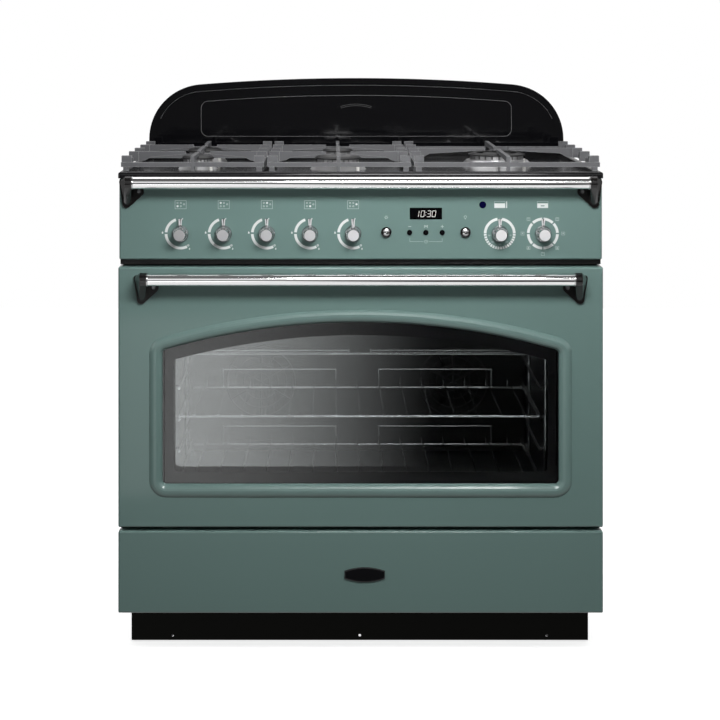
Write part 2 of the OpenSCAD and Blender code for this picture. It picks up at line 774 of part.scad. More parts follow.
// Fan motors behind the oven's back wall
module fan_motors() color("gray") {
    for (x = [-fan_x, fan_x]) translate([x, oven_back + sheet, fan_z]) rotate([-90, 0, 0]) difference() {
        union() {
            cylinder(d = motor_d - 14, h = motor_l, $fn = mid_fn);
            translate([-motor_d / 2, -motor_d / 2, 12]) cube([motor_d, motor_d, 20]);
            for (a = [45:90:315]) rotate(a) translate([motor_d / 2, 0, 0])
                cylinder(d = 9, h = 13, $fn = 24);
        }
        translate([0, 0, -1]) cylinder(d = shaft_d + 2 * run_clear, h = 31, $fn = mid_fn);
    }
}

// One fan wheel: a back disc with straight blades, on the motor's shaft
module fan(side) color("gray") {
    translate([side * fan_x, oven_back, fan_z]) rotate([90, 0, 0]) {
        translate([0, 0, 5]) cylinder(d = fan_d, h = 1.2, $fn = mid_fn);
        translate([0, 0, 5]) cylinder(d = 20, h = fan_space - 14, $fn = 48);
        for (a = [0:30:330]) rotate(a) translate([fan_d / 2 - 24, -0.6, 5.5]) cube([22, 1.2, fan_space - 18]);
        translate([0, 0, -28]) cylinder(d = shaft_d, h = 40, $fn = mid_fn);
    }
}

// Fascia pressing with its holes
module control_panel() color([0.4, 0.5, 0.47]) {
    front() difference() {
        pressed_front(fascia_w, fascia_bot, fascia_top, fascia_depth, press_r, sheet);
        for (x = concat(pattern_x, [temp_x, func_x])) translate([x, knob_z, -5])
            cylinder(d = spindle_d + 4, h = 10, $fn = 48);
        for (x = button_x) translate([x, button_z, -5]) cylinder(d = 9, h = 10, $fn = 48);
        for (i = [-1:1]) translate([clock_x + i * clock_pitch, clock_button_z, -5])
            cylinder(d = clock_button_d + 2 * slide_clear, h = 10, $fn = 48);
        translate([clock_x - window_w / 2, clock_z - window_h / 2, -5]) cube([window_w, window_h, 10]);
        translate([indicator[0], indicator[1], -5]) cylinder(d = indicator_d, h = 10, $fn = 48);
    }
}

// Clock window and oven indicator lens
module panel_lenses() color([0.05, 0.05, 0.08]) {
    front() {
        translate([clock_x - window_w / 2, clock_z - window_h / 2, -sheet - 2])
            cube([window_w, window_h, sheet + 2.4]);
        translate([clock_x - window_w / 2 - 4, clock_z - window_h / 2 - 4, -sheet - 4])
            cube([window_w + 8, window_h + 8, 4]);
        translate([indicator[0], indicator[1], -sheet - 12])
            cylinder(d = indicator_d, h = sheet + 12.8, $fn = 48);
        translate([indicator[0], indicator[1], -sheet - 5]) cylinder(d = indicator_d + 6, h = 5, $fn = 48);
    }
}

// Gas manifold behind the fascia: rail, five valves, inlet at the back and a pipe to each jet
module gas_rail() color([0.75, 0.62, 0.3]) {
    back_z = -sheet - valve_front - valve_l;
    riser_y = face_y - back_z - valve_l / 2;
    pipe_y = face_y - back_z + 8;
    difference() {
        union() {
            front() for (x = pattern_x) {
                translate([x - 14, knob_z - 16, back_z]) cube([28, 32, valve_l]);
                translate([x, knob_z, back_z + valve_l - 1])
                    cylinder(d = spindle_d + 8, h = valve_front + 1, $fn = 48);
                translate([x, knob_z + 14, back_z + valve_l / 2]) rotate([-90, 0, 0])
                    cylinder(d = 9, h = jet_z - knob_z - 14, $fn = 24);
            }
            wire_x(-half_w + 62, pattern_x[4] + 24, pipe_y, knob_z, 18);
            wire_y(pipe_y, back_y - 14, inlet_x, jet_z, 14);
            wire_y(back_y - 24, back_y - 1, inlet_x, jet_z, inlet_d);
            wire_z(knob_z, jet_z, inlet_x, pipe_y, 14);
            translate([inlet_x, pipe_y, jet_z]) sphere(d = 16, $fn = 32);
            for (i = [0:4])
                jet_pipe([pattern_x[i], riser_y], [burners[i][0], face_y + burners[i][1]]);
        }
        front() for (x = pattern_x) translate([x, knob_z, -sheet - spindle_in - press_travel - 1])
            cylinder(d = spindle_d + 2 * run_clear, h = spindle_in + press_travel + 2, $fn = mid_fn);
    }
}

// Thin pipe from the top of a valve's riser to the jet of its burner
module jet_pipe(from, to) {
    run = to - from;
    translate([from[0], from[1], jet_z]) {
        sphere(d = 11, $fn = 32);
        rotate([0, 0, atan2(run[1], run[0])]) rotate([0, 90, 0])
            cylinder(d = 8, h = norm(run) - jet_r - slide_clear, $fn = 24);
    }
}

// Thermostat, function switch, button switches and the timer's housing behind the fascia
module oven_switches() color("whitesmoke") {
    back_z = -sheet - switch_front - switch_l;
    front() {
        for (x = [temp_x, func_x]) {
            translate([x - 22, knob_z - 22, back_z]) cube([44, 44, switch_l]);
            translate([x, knob_z, back_z + switch_l - 1]) cylinder(d = 20, h = switch_front + 1, $fn = 48);
            translate([x, knob_z, back_z + switch_l - 1])
                cylinder(d = spindle_d, h = sheet + switch_front + spindle_out, $fn = mid_fn);
        }
        difference() {
            for (x = button_x) {
                translate([x - 11, button_z - 12, -sheet - 30]) cube([22, 24, 24]);
                translate([x, button_z, -sheet - 7]) cylinder(d = 14, h = 7, $fn = 48);
            }
            for (x = button_x) translate([x, button_z, -sheet - 20])
                cylinder(d = stem_d + 2 * run_clear, h = 30, $fn = 48);
        }
        translate([clock_x - 50, clock_button_z - 14, -sheet - 34])
            cube([100, clock_z - clock_button_z + 36, 28]);
        for (i = [-1:1]) translate([clock_x + i * clock_pitch, clock_button_z, -sheet - 7])
            cylinder(d = 5, h = 7 - clock_flange - clock_travel - slide_clear, $fn = 24);
        for (s = [-1, 1]) translate([clock_x + s * 45, clock_z + 12, -sheet - 7])
            cylinder(d = 7, h = 7, $fn = 24);
    }
}

// Spring-loaded valve spindle behind one burner knob
module burner_spindle(i) color("silver") {
    front() translate([pattern_x[i], knob_z, -sheet - spindle_in]) {
        cylinder(d = spindle_d, h = sheet + spindle_in + spindle_out - slide_clear, $fn = mid_fn);
    }
}

// A chrome control knob whose axis is at x: skirt, pointer and fluted grip
module knob_at(x) color("silver") {
    front() translate([x, knob_z, 0]) difference() {
        union() {
            translate([0, 0, skirt_gap]) cylinder(d1 = skirt_d, d2 = skirt_d - 1.5, h = 3.5, $fn = mid_fn);
            translate([0, 0, skirt_gap + 3.4])
                cylinder(d1 = skirt_d - 3, d2 = grip_d - 1, h = 4, $fn = mid_fn);
            translate([0, 0, skirt_gap + 6])
                cylinder(d1 = grip_d, d2 = grip_d - 1.4, h = knob_l - skirt_gap - 7.5, $fn = mid_fn);
            translate([0, 0, knob_l - 2]) cylinder(d1 = grip_d - 1.6, d2 = grip_d - 3.4, h = 2, $fn = mid_fn);
            translate([0, 0, skirt_gap]) linear_extrude(3.2)
                polygon([
                    [-2.4, skirt_d / 2 - 4],
                    [2.4, skirt_d / 2 - 4],
                    [3.4, pointer_r],
                    [-3.4, pointer_r]
                ]);
        }
        for (a = [22.5:45:360]) rotate(a) translate([grip_d / 2 + 1.6, 0, skirt_gap + 7])
            cylinder(d = 6, h = knob_l, $fn = 24);
        translate([0, 0, -1]) cylinder(d = spindle_d + 2 * run_clear, h = spindle_out + 1, $fn = mid_fn);
    }
}

// A chrome push button with a domed head
module push_button(x) color("silver") {
    gap = button_travel + slide_clear;
    front() translate([x, button_z, 0]) {
        translate([0, 0, gap]) cylinder(d = button_d, h = 2.5, $fn = mid_fn);
        translate([0, 0, gap + 2.5]) intersection() {
            translate([0, 0, dome_h - dome_r]) sphere(r = dome_r, $fn = 96);
            cylinder(d = button_d - 0.8, h = 5, $fn = mid_fn);
        }
        translate([0, 0, -sheet - 15]) cylinder(d = stem_d, h = sheet + 15 + gap + 1, $fn = 48);
    }
}

// One small black clock button, kept behind the fascia by its flange
module clock_button(i) color([0.05, 0.05, 0.05]) {
    front() translate([clock_x + i * clock_pitch, clock_button_z, 0]) {
        translate([0, 0, -sheet - slide_clear - clock_flange])
            cylinder(d = clock_button_d + 3, h = clock_flange, $fn = 48);
        translate([0, 0, -sheet - slide_clear - 0.5])
            cylinder(d = clock_button_d, h = sheet + slide_clear + 3, $fn = 48);
    }
}

// Black enamelled hob: a shallow well inside a raised rim, with a hole for each burner
module hob_tray() color([0.04, 0.04, 0.05]) {
    front_y = face_y - hob_over;
    difference() {
        translate([0, 0, hob_h]) soft_block(body_w, front_y, back_y, edge_h, edge_r);
        translate([0, 0, well_z]) linear_extrude(edge_h) well_outline(rim_w);
        translate([0, 0, fascia_top - 1])
            linear_extrude(edge_h - well_drop - sheet + 1) tray_outline(sheet);
        translate([0, 0, fascia_top - 1]) linear_extrude(edge_h - sheet + 1) difference() {
            tray_outline(sheet);
            well_outline(rim_w - sheet);
        }
        for (b = burners) translate([b[0], face_y + b[1], fascia_top - 1])
            cylinder(r = b[2] * 0.55, h = edge_h + 2, $fn = mid_fn);
    }
}

// The hob's outer outline, drawn in by g
module tray_outline(g) {
    round_rect(body_w - 2 * g, face_y - hob_over + g, back_y - g, 3);
}

// The well's outline, which stops in front of the splashback
module well_outline(g) {
    round_rect(body_w - 2 * g, face_y - hob_over + g, hob_back - g * 0.6, 14);
}

// Cast burner bases with their toothed flame rings, and the mixing tube below each
module burner_bodies() color("silver") {
    for (b = burners) translate([b[0], face_y + b[1], 0]) {
        difference() {
            union() {
                translate([0, 0, well_z])
                    cylinder(r1 = b[2] * base_out, r2 = b[2] * 0.98, h = crown_z - well_z, $fn = mid_fn);
                translate([0, 0, crown_z - 0.5]) cylinder(r = b[2] * 0.86, h = crown_h + 0.5, $fn = mid_fn);
                translate([0, 0, jet_z + 5]) cylinder(r = b[2] * 0.4, h = well_z - jet_z - 4, $fn = mid_fn);
                translate([0, 0, jet_z - 8]) cylinder(r = jet_r, h = 14, $fn = 48);
            }
            translate([0, 0, crown_z]) cylinder(r = b[2] * 0.7, h = crown_h + 1, $fn = mid_fn);
            for (a = [0:15:345]) rotate(a) translate([b[2] * 0.5, -1.2, crown_z + 2])
                cube([b[2] * 0.5, 2.4, crown_h]);
            if (b[2] == wok_r) translate([0, 0, crown_z - 6]) difference() {
                cylinder(r = wok_r * 0.98 - 14, h = 20, $fn = mid_fn);
                translate([0, 0, -1]) cylinder(r = wok_inner_r + 2, h = 22, $fn = mid_fn);
            }
        }
    }
}

// Enamelled caps on the burner crowns; the wok burner has a ring and a centre cap
module burner_caps() color([0.1, 0.1, 0.1]) {
    for (b = burners) translate([b[0], face_y + b[1], crown_z + crown_h]) {
        if (b[2] == wok_r) difference() {
            cap(wok_r * 0.92, cap_h - 1);
            translate([0, 0, -4]) cylinder(r = wok_r * 0.66, h = 20, $fn = mid_fn);
        } else cap(b[2] * 0.95, cap_h);
        if (b[2] == wok_r) translate([0, 0, -crown_h])
            cylinder(r = wok_inner_r, h = crown_h + 4, $fn = mid_fn);
    }
}

module cap(r, h) {
    cylinder(r = r, h = h * 0.5, $fn = mid_fn);
    translate([0, 0, h * 0.5]) cylinder(r1 = r, r2 = r * 0.86, h = h * 0.5, $fn = mid_fn);
}

// Ignition electrode beside each burner, standing in the hob
module spark_electrodes() color("white") {
    for (b = burners) translate([b[0], face_y + b[1], well_z]) rotate(-50)
        translate([b[2] * base_out + 4.5, 0, 0]) {
            cylinder(r = 3.4, h = crown_z - well_z - 1, $fn = 24);
            cylinder(r = 1, h = crown_z - well_z + 6, $fn = 16);
        }
}

// Cast fingers pointing at one burner from the four sides of a bay
module finger(l, root = 20) {
    rotate([90, 0, 0]) linear_extrude(finger_t, center = true) polygon([
        [0, bar_z],
        [root * 0.8, bar_z + 3],
        [root + 6, pan_z - 11],
        [l, pan_z - 5],
        [l, pan_z],
        [0, pan_z]
    ]);
}

// One cast pan support between x0 and x1; its burner column is at cx
module pan_support(x0, x1, cx, rows) color([0.36, 0.36, 0.37]) {
    y0 = grate_y;
    y1 = grate_y + grate_d;
    middle = face_y + (front_burner_t + rear_burner_t) / 2;
    spine = [cx - finger_t / 2, cx + finger_t / 2];
    pads = [y0 + 16, face_y + front_burner_t, middle, face_y + rear_burner_t, y1 - 16];
    for (x = [x0, x1 - bar_s]) block(x, x + bar_s, y0, y1, bar_z, bar_z + bar_s);
    for (y = [y0, y1 - bar_s]) block(x0, x1, y, y + bar_s, bar_z, bar_z + bar_s);
    for (y = pads, x = [x0, x1 - pad_w]) block(x, x + pad_w, y - 6, y + 6, bar_z + 1, pan_z);
    for (y = [y0 + 1, y1 - 12]) {
        block(x0 + 4, x0 + 14, y, y + 11, x0 < -half_w + rim_w ? hob_h : well_z, bar_z + 2);
        block(x1 - 14, x1 - 4, y, y + 11, x1 > half_w - rim_w ? hob_h : well_z, bar_z + 2);
    }
    for (y = [y0, y1 - bar_s]) block(spine[0], spine[1], y, y + bar_s, well_z, pan_z);
    for (t = rows) {
        y = face_y + t;
        translate([x0 + pad_w - 3, y, 0]) finger(cx - finger_clear - x0 - pad_w + 3);
        translate([x1 - pad_w + 3, y, 0]) rotate(180) finger(x1 - pad_w + 3 - cx - finger_clear);
    }
    // Front and rear fingers of each burner lie on the spine
    first = rows[0];
    last = rows[len(rows) - 1];
    translate([cx, y0 + 2, 0]) rotate(90) finger(face_y + first - finger_clear - y0 - 2);
    translate([cx, y1 - 2, 0]) rotate(-90) finger(y1 - 2 - face_y - last - finger_clear);
    if (len(rows) == 2) {
        block(x0 + 2, x1 - 2, middle - finger_t / 2, middle + finger_t / 2, bar_z, bar_z + bar_s);
        block(spine[0], spine[1], face_y + first + finger_clear, face_y + last - finger_clear,
            pan_z - 5, pan_z);
        block(spine[0], spine[1], middle - 25, middle + 25, bar_z, pan_z - 4);
    }
}

// Splashback outline: a shallow arc over two large shoulders, drawn in by g
function splash_r() = let (c = half_w - shoulder_r) (c * c + splash_drop * splash_drop) / (2 * splash_drop);
function splash_outline(g) = let (
    c = half_w - shoulder_r,
    zc = splash_top - splash_r(),
    cz = zc + sqrt(pow(splash_r() - shoulder_r, 2) - c * c),
    phi = asin(c / (splash_r() - shoulder_r))
) concat(
    [[-half_w + g, hob_h + (g > 0 ? g : 0)], [half_w - g, hob_h + (g > 0 ? g : 0)]],
    arc(c, cz, shoulder_r - g, 0, 90 - phi, 20),
    arc(0, zc, splash_r() - g, 90 - phi, 90 + phi, 36),
    arc(-c, cz, shoulder_r - g, 90 + phi, 180, 20)
);

// Outline of the splashback's pressed middle panel, drawn in by g
function panel_outline(g) = let (
    a = panel_w / 2,
    top = splash_top - panel_drop - panel_rise,
    rr = (a * a + panel_rise * panel_rise) / (2 * panel_rise),
    zc = top + panel_rise - rr,
    c = a - panel_r,
    cz = zc + sqrt(pow(rr - panel_r, 2) - c * c),
    phi = asin(c / (rr - panel_r)),
    low = hob_h + panel_lift + panel_r
) concat(
    arc(-c, low, panel_r - g, 180, 270, 6),
    arc(c, low, panel_r - g, 270, 360, 6),
    arc(c, cz, panel_r - g, 0, 90 - phi, 6),
    arc(0, zc, rr - g, 90 - phi, 90 + phi, 24),
    arc(-c, cz, panel_r - g, 90 + phi, 180, 6)
);

// Pressed splashback: rolled band at the outline and a raised arched panel in the middle
module splashback() color([0.03, 0.03, 0.04]) {
    translate([0, splash_y + splash_t, 0]) rotate([90, 0, 0]) difference() {
        union() {
            linear_extrude(splash_t - 3) polygon(splash_outline(0));
            translate([0, 0, splash_t - 3.01]) linear_extrude(1.51) polygon(splash_outline(1.2));
            translate([0, 0, splash_t - 1.51]) linear_extrude(1.51) polygon(splash_outline(3.4));
        }
        translate([0, 0, splash_t - 3]) linear_extrude(4) polygon(splash_outline(band_w));
        translate([0, 0, splash_t - 4.2]) linear_extrude(4) difference() {
            polygon(panel_outline(0));
            polygon(panel_outline(6));
        }
        translate([0, 0, -1]) linear_extrude(splash_t - 4.2 - sheet + 1) polygon(splash_outline(sheet + 1));
    }
}

// Handrail tube across the fascia
module handrail_tube() color("silver") rail(rail_out, rail_z);

// Tube of a rail or handle, with both ends open inside its brackets
module rail(x_out, z) {
    l = 2 * (x_out - tube_inset);
    translate([-l / 2, rail_y, z]) rotate([0, 90, 0]) difference() {
        cylinder(d = tube_d, h = l, $fn = mid_fn);
        translate([0, 0, -1]) cylinder(d = tube_d - 2 * tube_wall, h = l + 2, $fn = mid_fn);
    }
}

// Cast end bracket of a rail: mounting foot, tapered arm and the socket round the tube's end
module end_bracket(x_out, z) {
    tip = face_y - rail_y;
    front() difference() {
        union() {
            hull() {
                translate([x_out - 5, z - 1, 0]) cylinder(r = 5, h = 5, $fn = 32);
                translate([x_out - 14, z - 41, 0]) cylinder(r = 8, h = 5, $fn = 32);
                translate([x_out - 37, z - 19, 0]) cylinder(r = 9, h = 5, $fn = 32);
                translate([x_out - 30, z - 1, 0]) cylinder(r = 5, h = 5, $fn = 32);
            }
            hull() {
                translate([x_out - 6, z - 2, 0]) cylinder(r = 5, h = 5, $fn = 32);
                translate([x_out - 15, z - 36, 0]) cylinder(r = 7, h = 6, $fn = 32);
                translate([x_out - 27, z, tip]) rotate([0, 90, 0]) cylinder(d = socket_d, h = 12, $fn = 32);
            }
        }
        translate([0, z, tip]) rotate([0, 90, 0])
            cylinder(d = tube_d, h = x_out - tube_inset, $fn = mid_fn);
        translate([x_out - 37, z - 19, 2.5]) cylinder(d = 10, h = 20, $fn = 32);
        translate([x_out - 37, z - 19, -1]) cylinder(d = 5.4, h = 20, $fn = 32);
    }
}

// Brackets of the handrail, one at each end
module handrail_brackets() color([0.07, 0.06, 0.06]) both_sides() end_bracket(rail_out, rail_z);

// Fixed hinge arms with their pins, bolted to the front frame
module hinge_arms() color("gray") {
    both_sides() {
        translate([hinge_x - arm_t / 2, 0, 0]) rotate([90, 0, 90]) linear_extrude(arm_t) {
            translate([pin_y, pin_z - arm_half]) square([frame_y - pin_y, 2 * arm_half]);
            translate([pin_y, pin_z]) circle(arm_end, $fn = 48);
        }
        block(hinge_x - slot_half + 0.5, hinge_x + slot_half - 0.5, frame_y - 2, frame_y,
            drawer_top + 2, pin_z + 20);
        wire_x(hinge_x - cheek_gap - cheek_t, hinge_x + cheek_gap + cheek_t, pin_y, pin_z, pin_d);
    }
}

// Slots for the hinge arms, open at the door's lower edge and back
module hinge_slots() {
    both_sides() block(hinge_x - slot_half, hinge_x + slot_half, face_y + 2.5, inner_face + 1,
        door_bot - 1, pin_z + 9);
}

// Outer door pressing with the raised bead round its window
module door_panel() color([0.35, 0.45, 0.42]) {
    difference() {
        front() {
            difference() {
                pressed_front(body_w, door_bot, door_top, door_lap, press_r, sheet);
                translate([0, 0, -sheet - 1]) linear_extrude(sheet + 3) polygon(arched_outline(bead_w - 1));
            }
            arched_sweep(bead_profile);
        }
        hinge_slots();
    }
}

// Outer glass, clipped behind the bead
module door_outer_glass() color([0.2, 0.22, 0.24, 0.5]) {
    front() translate([0, 0, -glass_sink - glass_t]) linear_extrude(glass_t)
        round_rect(2 * glass_x, win_bot - 16, win_bot + win_h + 16, 4);
}

// Side view of the inner pan between its lap and its back, drawn in by g; the lower back edge
// slopes forward so that it clears the seal as the door drops
module pan_profile(g) {
    lap_y = face_y + door_lap - (g > 0 ? 1 : 0);
    back = inner_face - g;
    polygon([
        [lap_y, door_bot + g],
        [back - pan_slope, door_bot + g],
        [back, door_bot + g + pan_slope_h],
        [back, door_top - g],
        [lap_y, door_top - g]
    ]);
}

// Inner door pan that closes the door behind, with its own window
module door_inner_frame() color("gray") {
    difference() {
        union() {
            difference() {
                intersection() {
                    front() translate([0, 0, -door_t]) linear_extrude(door_t - door_lap)
                        round_rect(body_w, door_bot, door_top, press_r);
                    translate([-half_w, 0, 0]) rotate([90, 0, 90]) linear_extrude(body_w) pan_profile(0);
                }
                translate([-half_w + sheet, 0, 0]) rotate([90, 0, 90])
                    linear_extrude(body_w - 2 * sheet) pan_profile(sheet);
            }
            front() translate([0, 0, -door_t + sheet])
                linear_extrude(door_t - glass_sink - glass_t - sheet) difference() {
                    round_rect(inner_win_w + 2 * sheet, inner_win_bot - sheet, inner_win_top + sheet,
                        12 + sheet);
                    round_rect(inner_win_w, inner_win_bot, inner_win_top, 12);
                }
        }
        front() translate([0, 0, -door_t - 1]) linear_extrude(sheet + 2)
            round_rect(inner_win_w, inner_win_bot, inner_win_top, 12);
        hinge_slots();
    }
}

// Inner glass, resting against the inner pan's window
module door_inner_glass() color([0.2, 0.22, 0.24, 0.5]) {
    front() translate([0, 0, -door_t + 12]) linear_extrude(glass_t)
        round_rect(inner_win_w - 0.6, inner_win_bot + 0.3, inner_win_top - 0.3, 11.7);
}

// Door handle tube
module door_handle_tube() color("silver") rail(handle_out, handle_z);

// Brackets of the door handle, one at each end
module door_handle_brackets() color([0.07, 0.06, 0.06]) both_sides() end_bracket(handle_out, handle_z);

// Hinge channels inside the door, turning on the arms' pins
module door_hinge_plates() color("gray") {
    front_x = cheek_gap + cheek_t;
    both_sides() translate([hinge_x, 0, 0]) difference() {
        block(-front_x, front_x, face_y + sheet, inner_face - sheet, pin_z - 7, pin_z + 90);
        block(-cheek_gap, cheek_gap, face_y, inner_face, pin_z - 10, pin_z + arm_end + 3);
        block(-cheek_gap, cheek_gap, face_y + sheet + 3, inner_face, pin_z - 10, pin_z + 100);
        block(-front_x - 1, front_x + 1, pin_y + 9, inner_face, pin_z - 10, pin_z + 9.5);
        translate([-20, pin_y, pin_z]) rotate([0, 90, 0])
            cylinder(d = pin_d + 2 * run_clear, h = 40, $fn = mid_fn);
    }
}

// Fixed drawer runners on their brackets
module drawer_runners() color("silver") {
    y0 = face_y + drawer_t + 30;
    y1 = y0 + drawer_travel + 30;
    c = slide_clear;
    web_x = drawer_x + runner_t + c;
    both_sides() {
        block(web_x, web_x + sheet, y0, y1, runner_z - c - sheet, runner_z + runner_h + c + sheet);
        for (z = [runner_z - c - sheet, runner_z + runner_h + c])
            block(drawer_x + c, web_x + sheet / 2, y0, y1, z, z + sheet);
        for (y = [y0 + 10, y1 - 40])
            block(web_x + sheet / 2, inner_x, y, y + 30, runner_z + 4, runner_z + 4 + 2 * sheet);
    }
}

// Drawer front pressing
module drawer_front() color([0.3, 0.38, 0.35]) {
    front() pressed_front(body_w, under_h, drawer_top, drawer_t, press_r, sheet);
}

// Sheet drawer box with its sliding bars
module drawer_box() color("silver") {
    y0 = face_y + drawer_t;
    difference() {
        block(-drawer_x, drawer_x, y0, y0 + drawer_l, drawer_floor, drawer_floor + drawer_wall);
        block(-drawer_x + sheet, drawer_x - sheet, y0 + sheet, y0 + drawer_l - sheet,
            drawer_floor + sheet, drawer_floor + drawer_wall + 1);
    }
    both_sides() {
        block(drawer_x - sheet / 2, drawer_x + runner_t, y0 + 6, y0 + drawer_l - 4,
            runner_z, runner_z + runner_h);
        block(drawer_x - 60, drawer_x, face_y + sheet, y0 + sheet / 2,
            drawer_floor + 4, drawer_floor + drawer_wall - 8);
    }
}

base_frame();
feet();
rear_roller(-1);  // rear_roller_left
rear_roller(1);  // rear_roller_right
plinth();
side_panels();
back_panel();
oven_cavity();
oven_front_frame();
oven_back_liner();
door_seal();
side_racks();
oven_shelves();
heating_elements();
oven_lamp();
fan_motors();
fan(-1);  // fan_left
fan(1);  // fan_right
control_panel();
panel_lenses();
gas_rail();
oven_switches();
burner_spindle(0);  // burner_spindle_1
burner_spindle(1);  // burner_spindle_2
burner_spindle(2);  // burner_spindle_3
burner_spindle(3);  // burner_spindle_4
burner_spindle(4);  // burner_spindle_5
knob_at(pattern_x[0]);  // burner_knob_1
knob_at(pattern_x[1]);  // burner_knob_2
knob_at(pattern_x[2]);  // burner_knob_3
knob_at(pattern_x[3]);  // burner_knob_4
knob_at(pattern_x[4]);  // burner_knob_5
knob_at(temp_x);  // temperature_knob
knob_at(func_x);  // function_knob
push_button(button_x[0]);  // ignition_button
push_button(button_x[1]);  // light_button
clock_button(-1);  // clock_button_minus
clock_button(0);  // clock_button_mode
clock_button(1);  // clock_button_plus
hob_tray();
burner_bodies();
burner_caps();
spark_electrodes();
pan_support(grate_edges[0], grate_edges[1] - grate_gap / 2, burner_x[0], [front_burner_t, rear_burner_t]);  // pan_support_left
pan_support(grate_edges[1] + grate_gap / 2, grate_edges[2] - grate_gap / 2, burner_x[1],  // pan_support_middle
        [front_burner_t, rear_burner_t]);
pan_support(grate_edges[2] + grate_gap / 2, grate_edges[3], burner_x[2], [wok_t]);  // pan_support_right
splashback();
handrail_tube();
handrail_brackets();
hinge_arms();
door_panel();
door_outer_glass();
door_inner_frame();
door_inner_glass();
door_handle_tube();
door_handle_brackets();
door_hinge_plates();
drawer_runners();
drawer_front();
drawer_box();
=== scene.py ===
"""Looks of a 90 cm dual fuel range cooker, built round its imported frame. Metres, front faces -Y, Z up."""

import logging
import math
from collections.abc import Iterable
from dataclasses import dataclass, field, replace
from enum import Enum

import bmesh
import bpy
from mathutils import Matrix, Vector


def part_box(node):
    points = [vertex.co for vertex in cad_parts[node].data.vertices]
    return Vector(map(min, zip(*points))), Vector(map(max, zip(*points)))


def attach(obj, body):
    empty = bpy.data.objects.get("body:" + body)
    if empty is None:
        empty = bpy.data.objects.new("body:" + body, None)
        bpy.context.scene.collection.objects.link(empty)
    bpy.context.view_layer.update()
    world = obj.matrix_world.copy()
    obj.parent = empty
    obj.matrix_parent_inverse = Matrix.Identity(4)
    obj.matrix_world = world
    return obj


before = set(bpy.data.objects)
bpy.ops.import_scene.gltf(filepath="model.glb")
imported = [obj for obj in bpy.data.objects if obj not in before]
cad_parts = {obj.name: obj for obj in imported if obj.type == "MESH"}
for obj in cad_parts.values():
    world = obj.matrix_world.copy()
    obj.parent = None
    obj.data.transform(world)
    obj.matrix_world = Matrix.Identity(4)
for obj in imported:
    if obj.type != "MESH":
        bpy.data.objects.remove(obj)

LOG = logging.getLogger("range_cooker")
MM = 0.001
FACE_Y = -0.276
KNOB_Z = 0.7905
BURNER_KNOBS = (-0.334, -0.254, -0.174, -0.094, -0.014)
TEMPERATURE_X = 0.258
FUNCTION_X = 0.338
IGNITION_X = 0.0475
LIGHT_X = 0.1942
ROOT = "cooker"
RELIEF_DEPTH = 0.4 * MM
SPLASH_FIELD_DEPTH = 3.0 * MM
BRUSH_STRETCH = (0.03, 1.0, 1.0)
SPECKLE_RANGE = (0.6, 0.68)
ARC_STEP_DEGREES = 6.0
ARC_STEP_LENGTH = 20.0 * MM
CORNER_STEPS = 6
ARCH_STEPS = 32
WELD_DISTANCE = 1e-6
ORIGIN = Vector((0, 0, 0))
WHOLE_TURN = (0, 360)


class Grain(Enum):
    """Fine relief that a finish carries."""

    SMOOTH = "smooth"
    PEEL = "peel"
    CAST = "cast"
    BRUSHED = "brushed"
    SPECKLE = "speckle"


def make_group(name: str, inputs: dict[str, float], outputs: Iterable[str]) -> bpy.types.NodeTree:
    """Makes an empty shader group with named sockets.

    Args:
        name: Name of the group.
        inputs: Float inputs with their defaults.
        outputs: Names of the float outputs.

    Returns:
        The node tree with its group input and output nodes in place.
    """
    tree = bpy.data.node_groups.new(name, "ShaderNodeTree")
    for label, default in inputs.items():
        socket = tree.interface.new_socket(label, in_out="INPUT", socket_type="NodeSocketFloat")
        socket.default_value = default
    for label in outputs:
        tree.interface.new_socket(label, in_out="OUTPUT", socket_type="NodeSocketFloat")
    tree.nodes.new("NodeGroupInput")
    tree.nodes.new("NodeGroupOutput")
    return tree


def noise_chain(tree: bpy.types.NodeTree, scale_label: str, stretch: tuple[float, float, float],
                detail: float) -> bpy.types.Node:
    """Adds object coordinates, a stretch and a noise whose scale is a group input.

    Args:
        tree: Group that gets the nodes.
        scale_label: Name of the group input that scales the noise.
        stretch: Stretch of the coordinates along X, Y and Z.
        detail: Octaves of the noise.

    Returns:
        The noise node.
    """
    nodes, links = tree.nodes, tree.links
    coords = nodes.new("ShaderNodeTexCoord")
    mapping = nodes.new("ShaderNodeMapping")
    mapping.inputs["Scale"].default_value = stretch
    noise = nodes.new("ShaderNodeTexNoise")
    noise.inputs["Detail"].default_value = detail
    links.new(coords.outputs["Object"], mapping.inputs["Vector"])
    links.new(mapping.outputs["Vector"], noise.inputs["Vector"])
    links.new(nodes["Group Input"].outputs[scale_label], noise.inputs["Scale"])
    return noise


def build_relief_group(grain: Grain) -> bpy.types.NodeTree:
    """Builds the relief group of one grain: a height and a wear mask over the surface.

    Args:
        grain: The grain that the group draws.

    Returns:
        The group, with inputs Scale and Blotch and outputs Height and Mask.
    """
    tree = make_group("relief_" + grain.value, {"Scale": 200.0, "Blotch": 4.0}, ("Height", "Mask"))
    stretch = BRUSH_STRETCH if grain is Grain.BRUSHED else (1.0, 1.0, 1.0)
    fine = noise_chain(tree, "Scale", stretch, 5.0 if grain is Grain.CAST else 2.0)
    broad = noise_chain(tree, "Blotch", (1.0, 1.0, 1.0), 3.0)
    out = tree.nodes["Group Output"]
    source = fine.outputs["Fac"]
    if grain is Grain.SPECKLE:
        ramp = tree.nodes.new("ShaderNodeValToRGB")
        for stop, position in zip(ramp.color_ramp.elements, SPECKLE_RANGE):
            stop.position = position
        tree.links.new(source, ramp.inputs["Fac"])
        source = ramp.outputs["Color"]
    tree.links.new(source, out.inputs["Height"])
    tree.links.new(broad.outputs["Fac"], out.inputs["Mask"])
    return tree


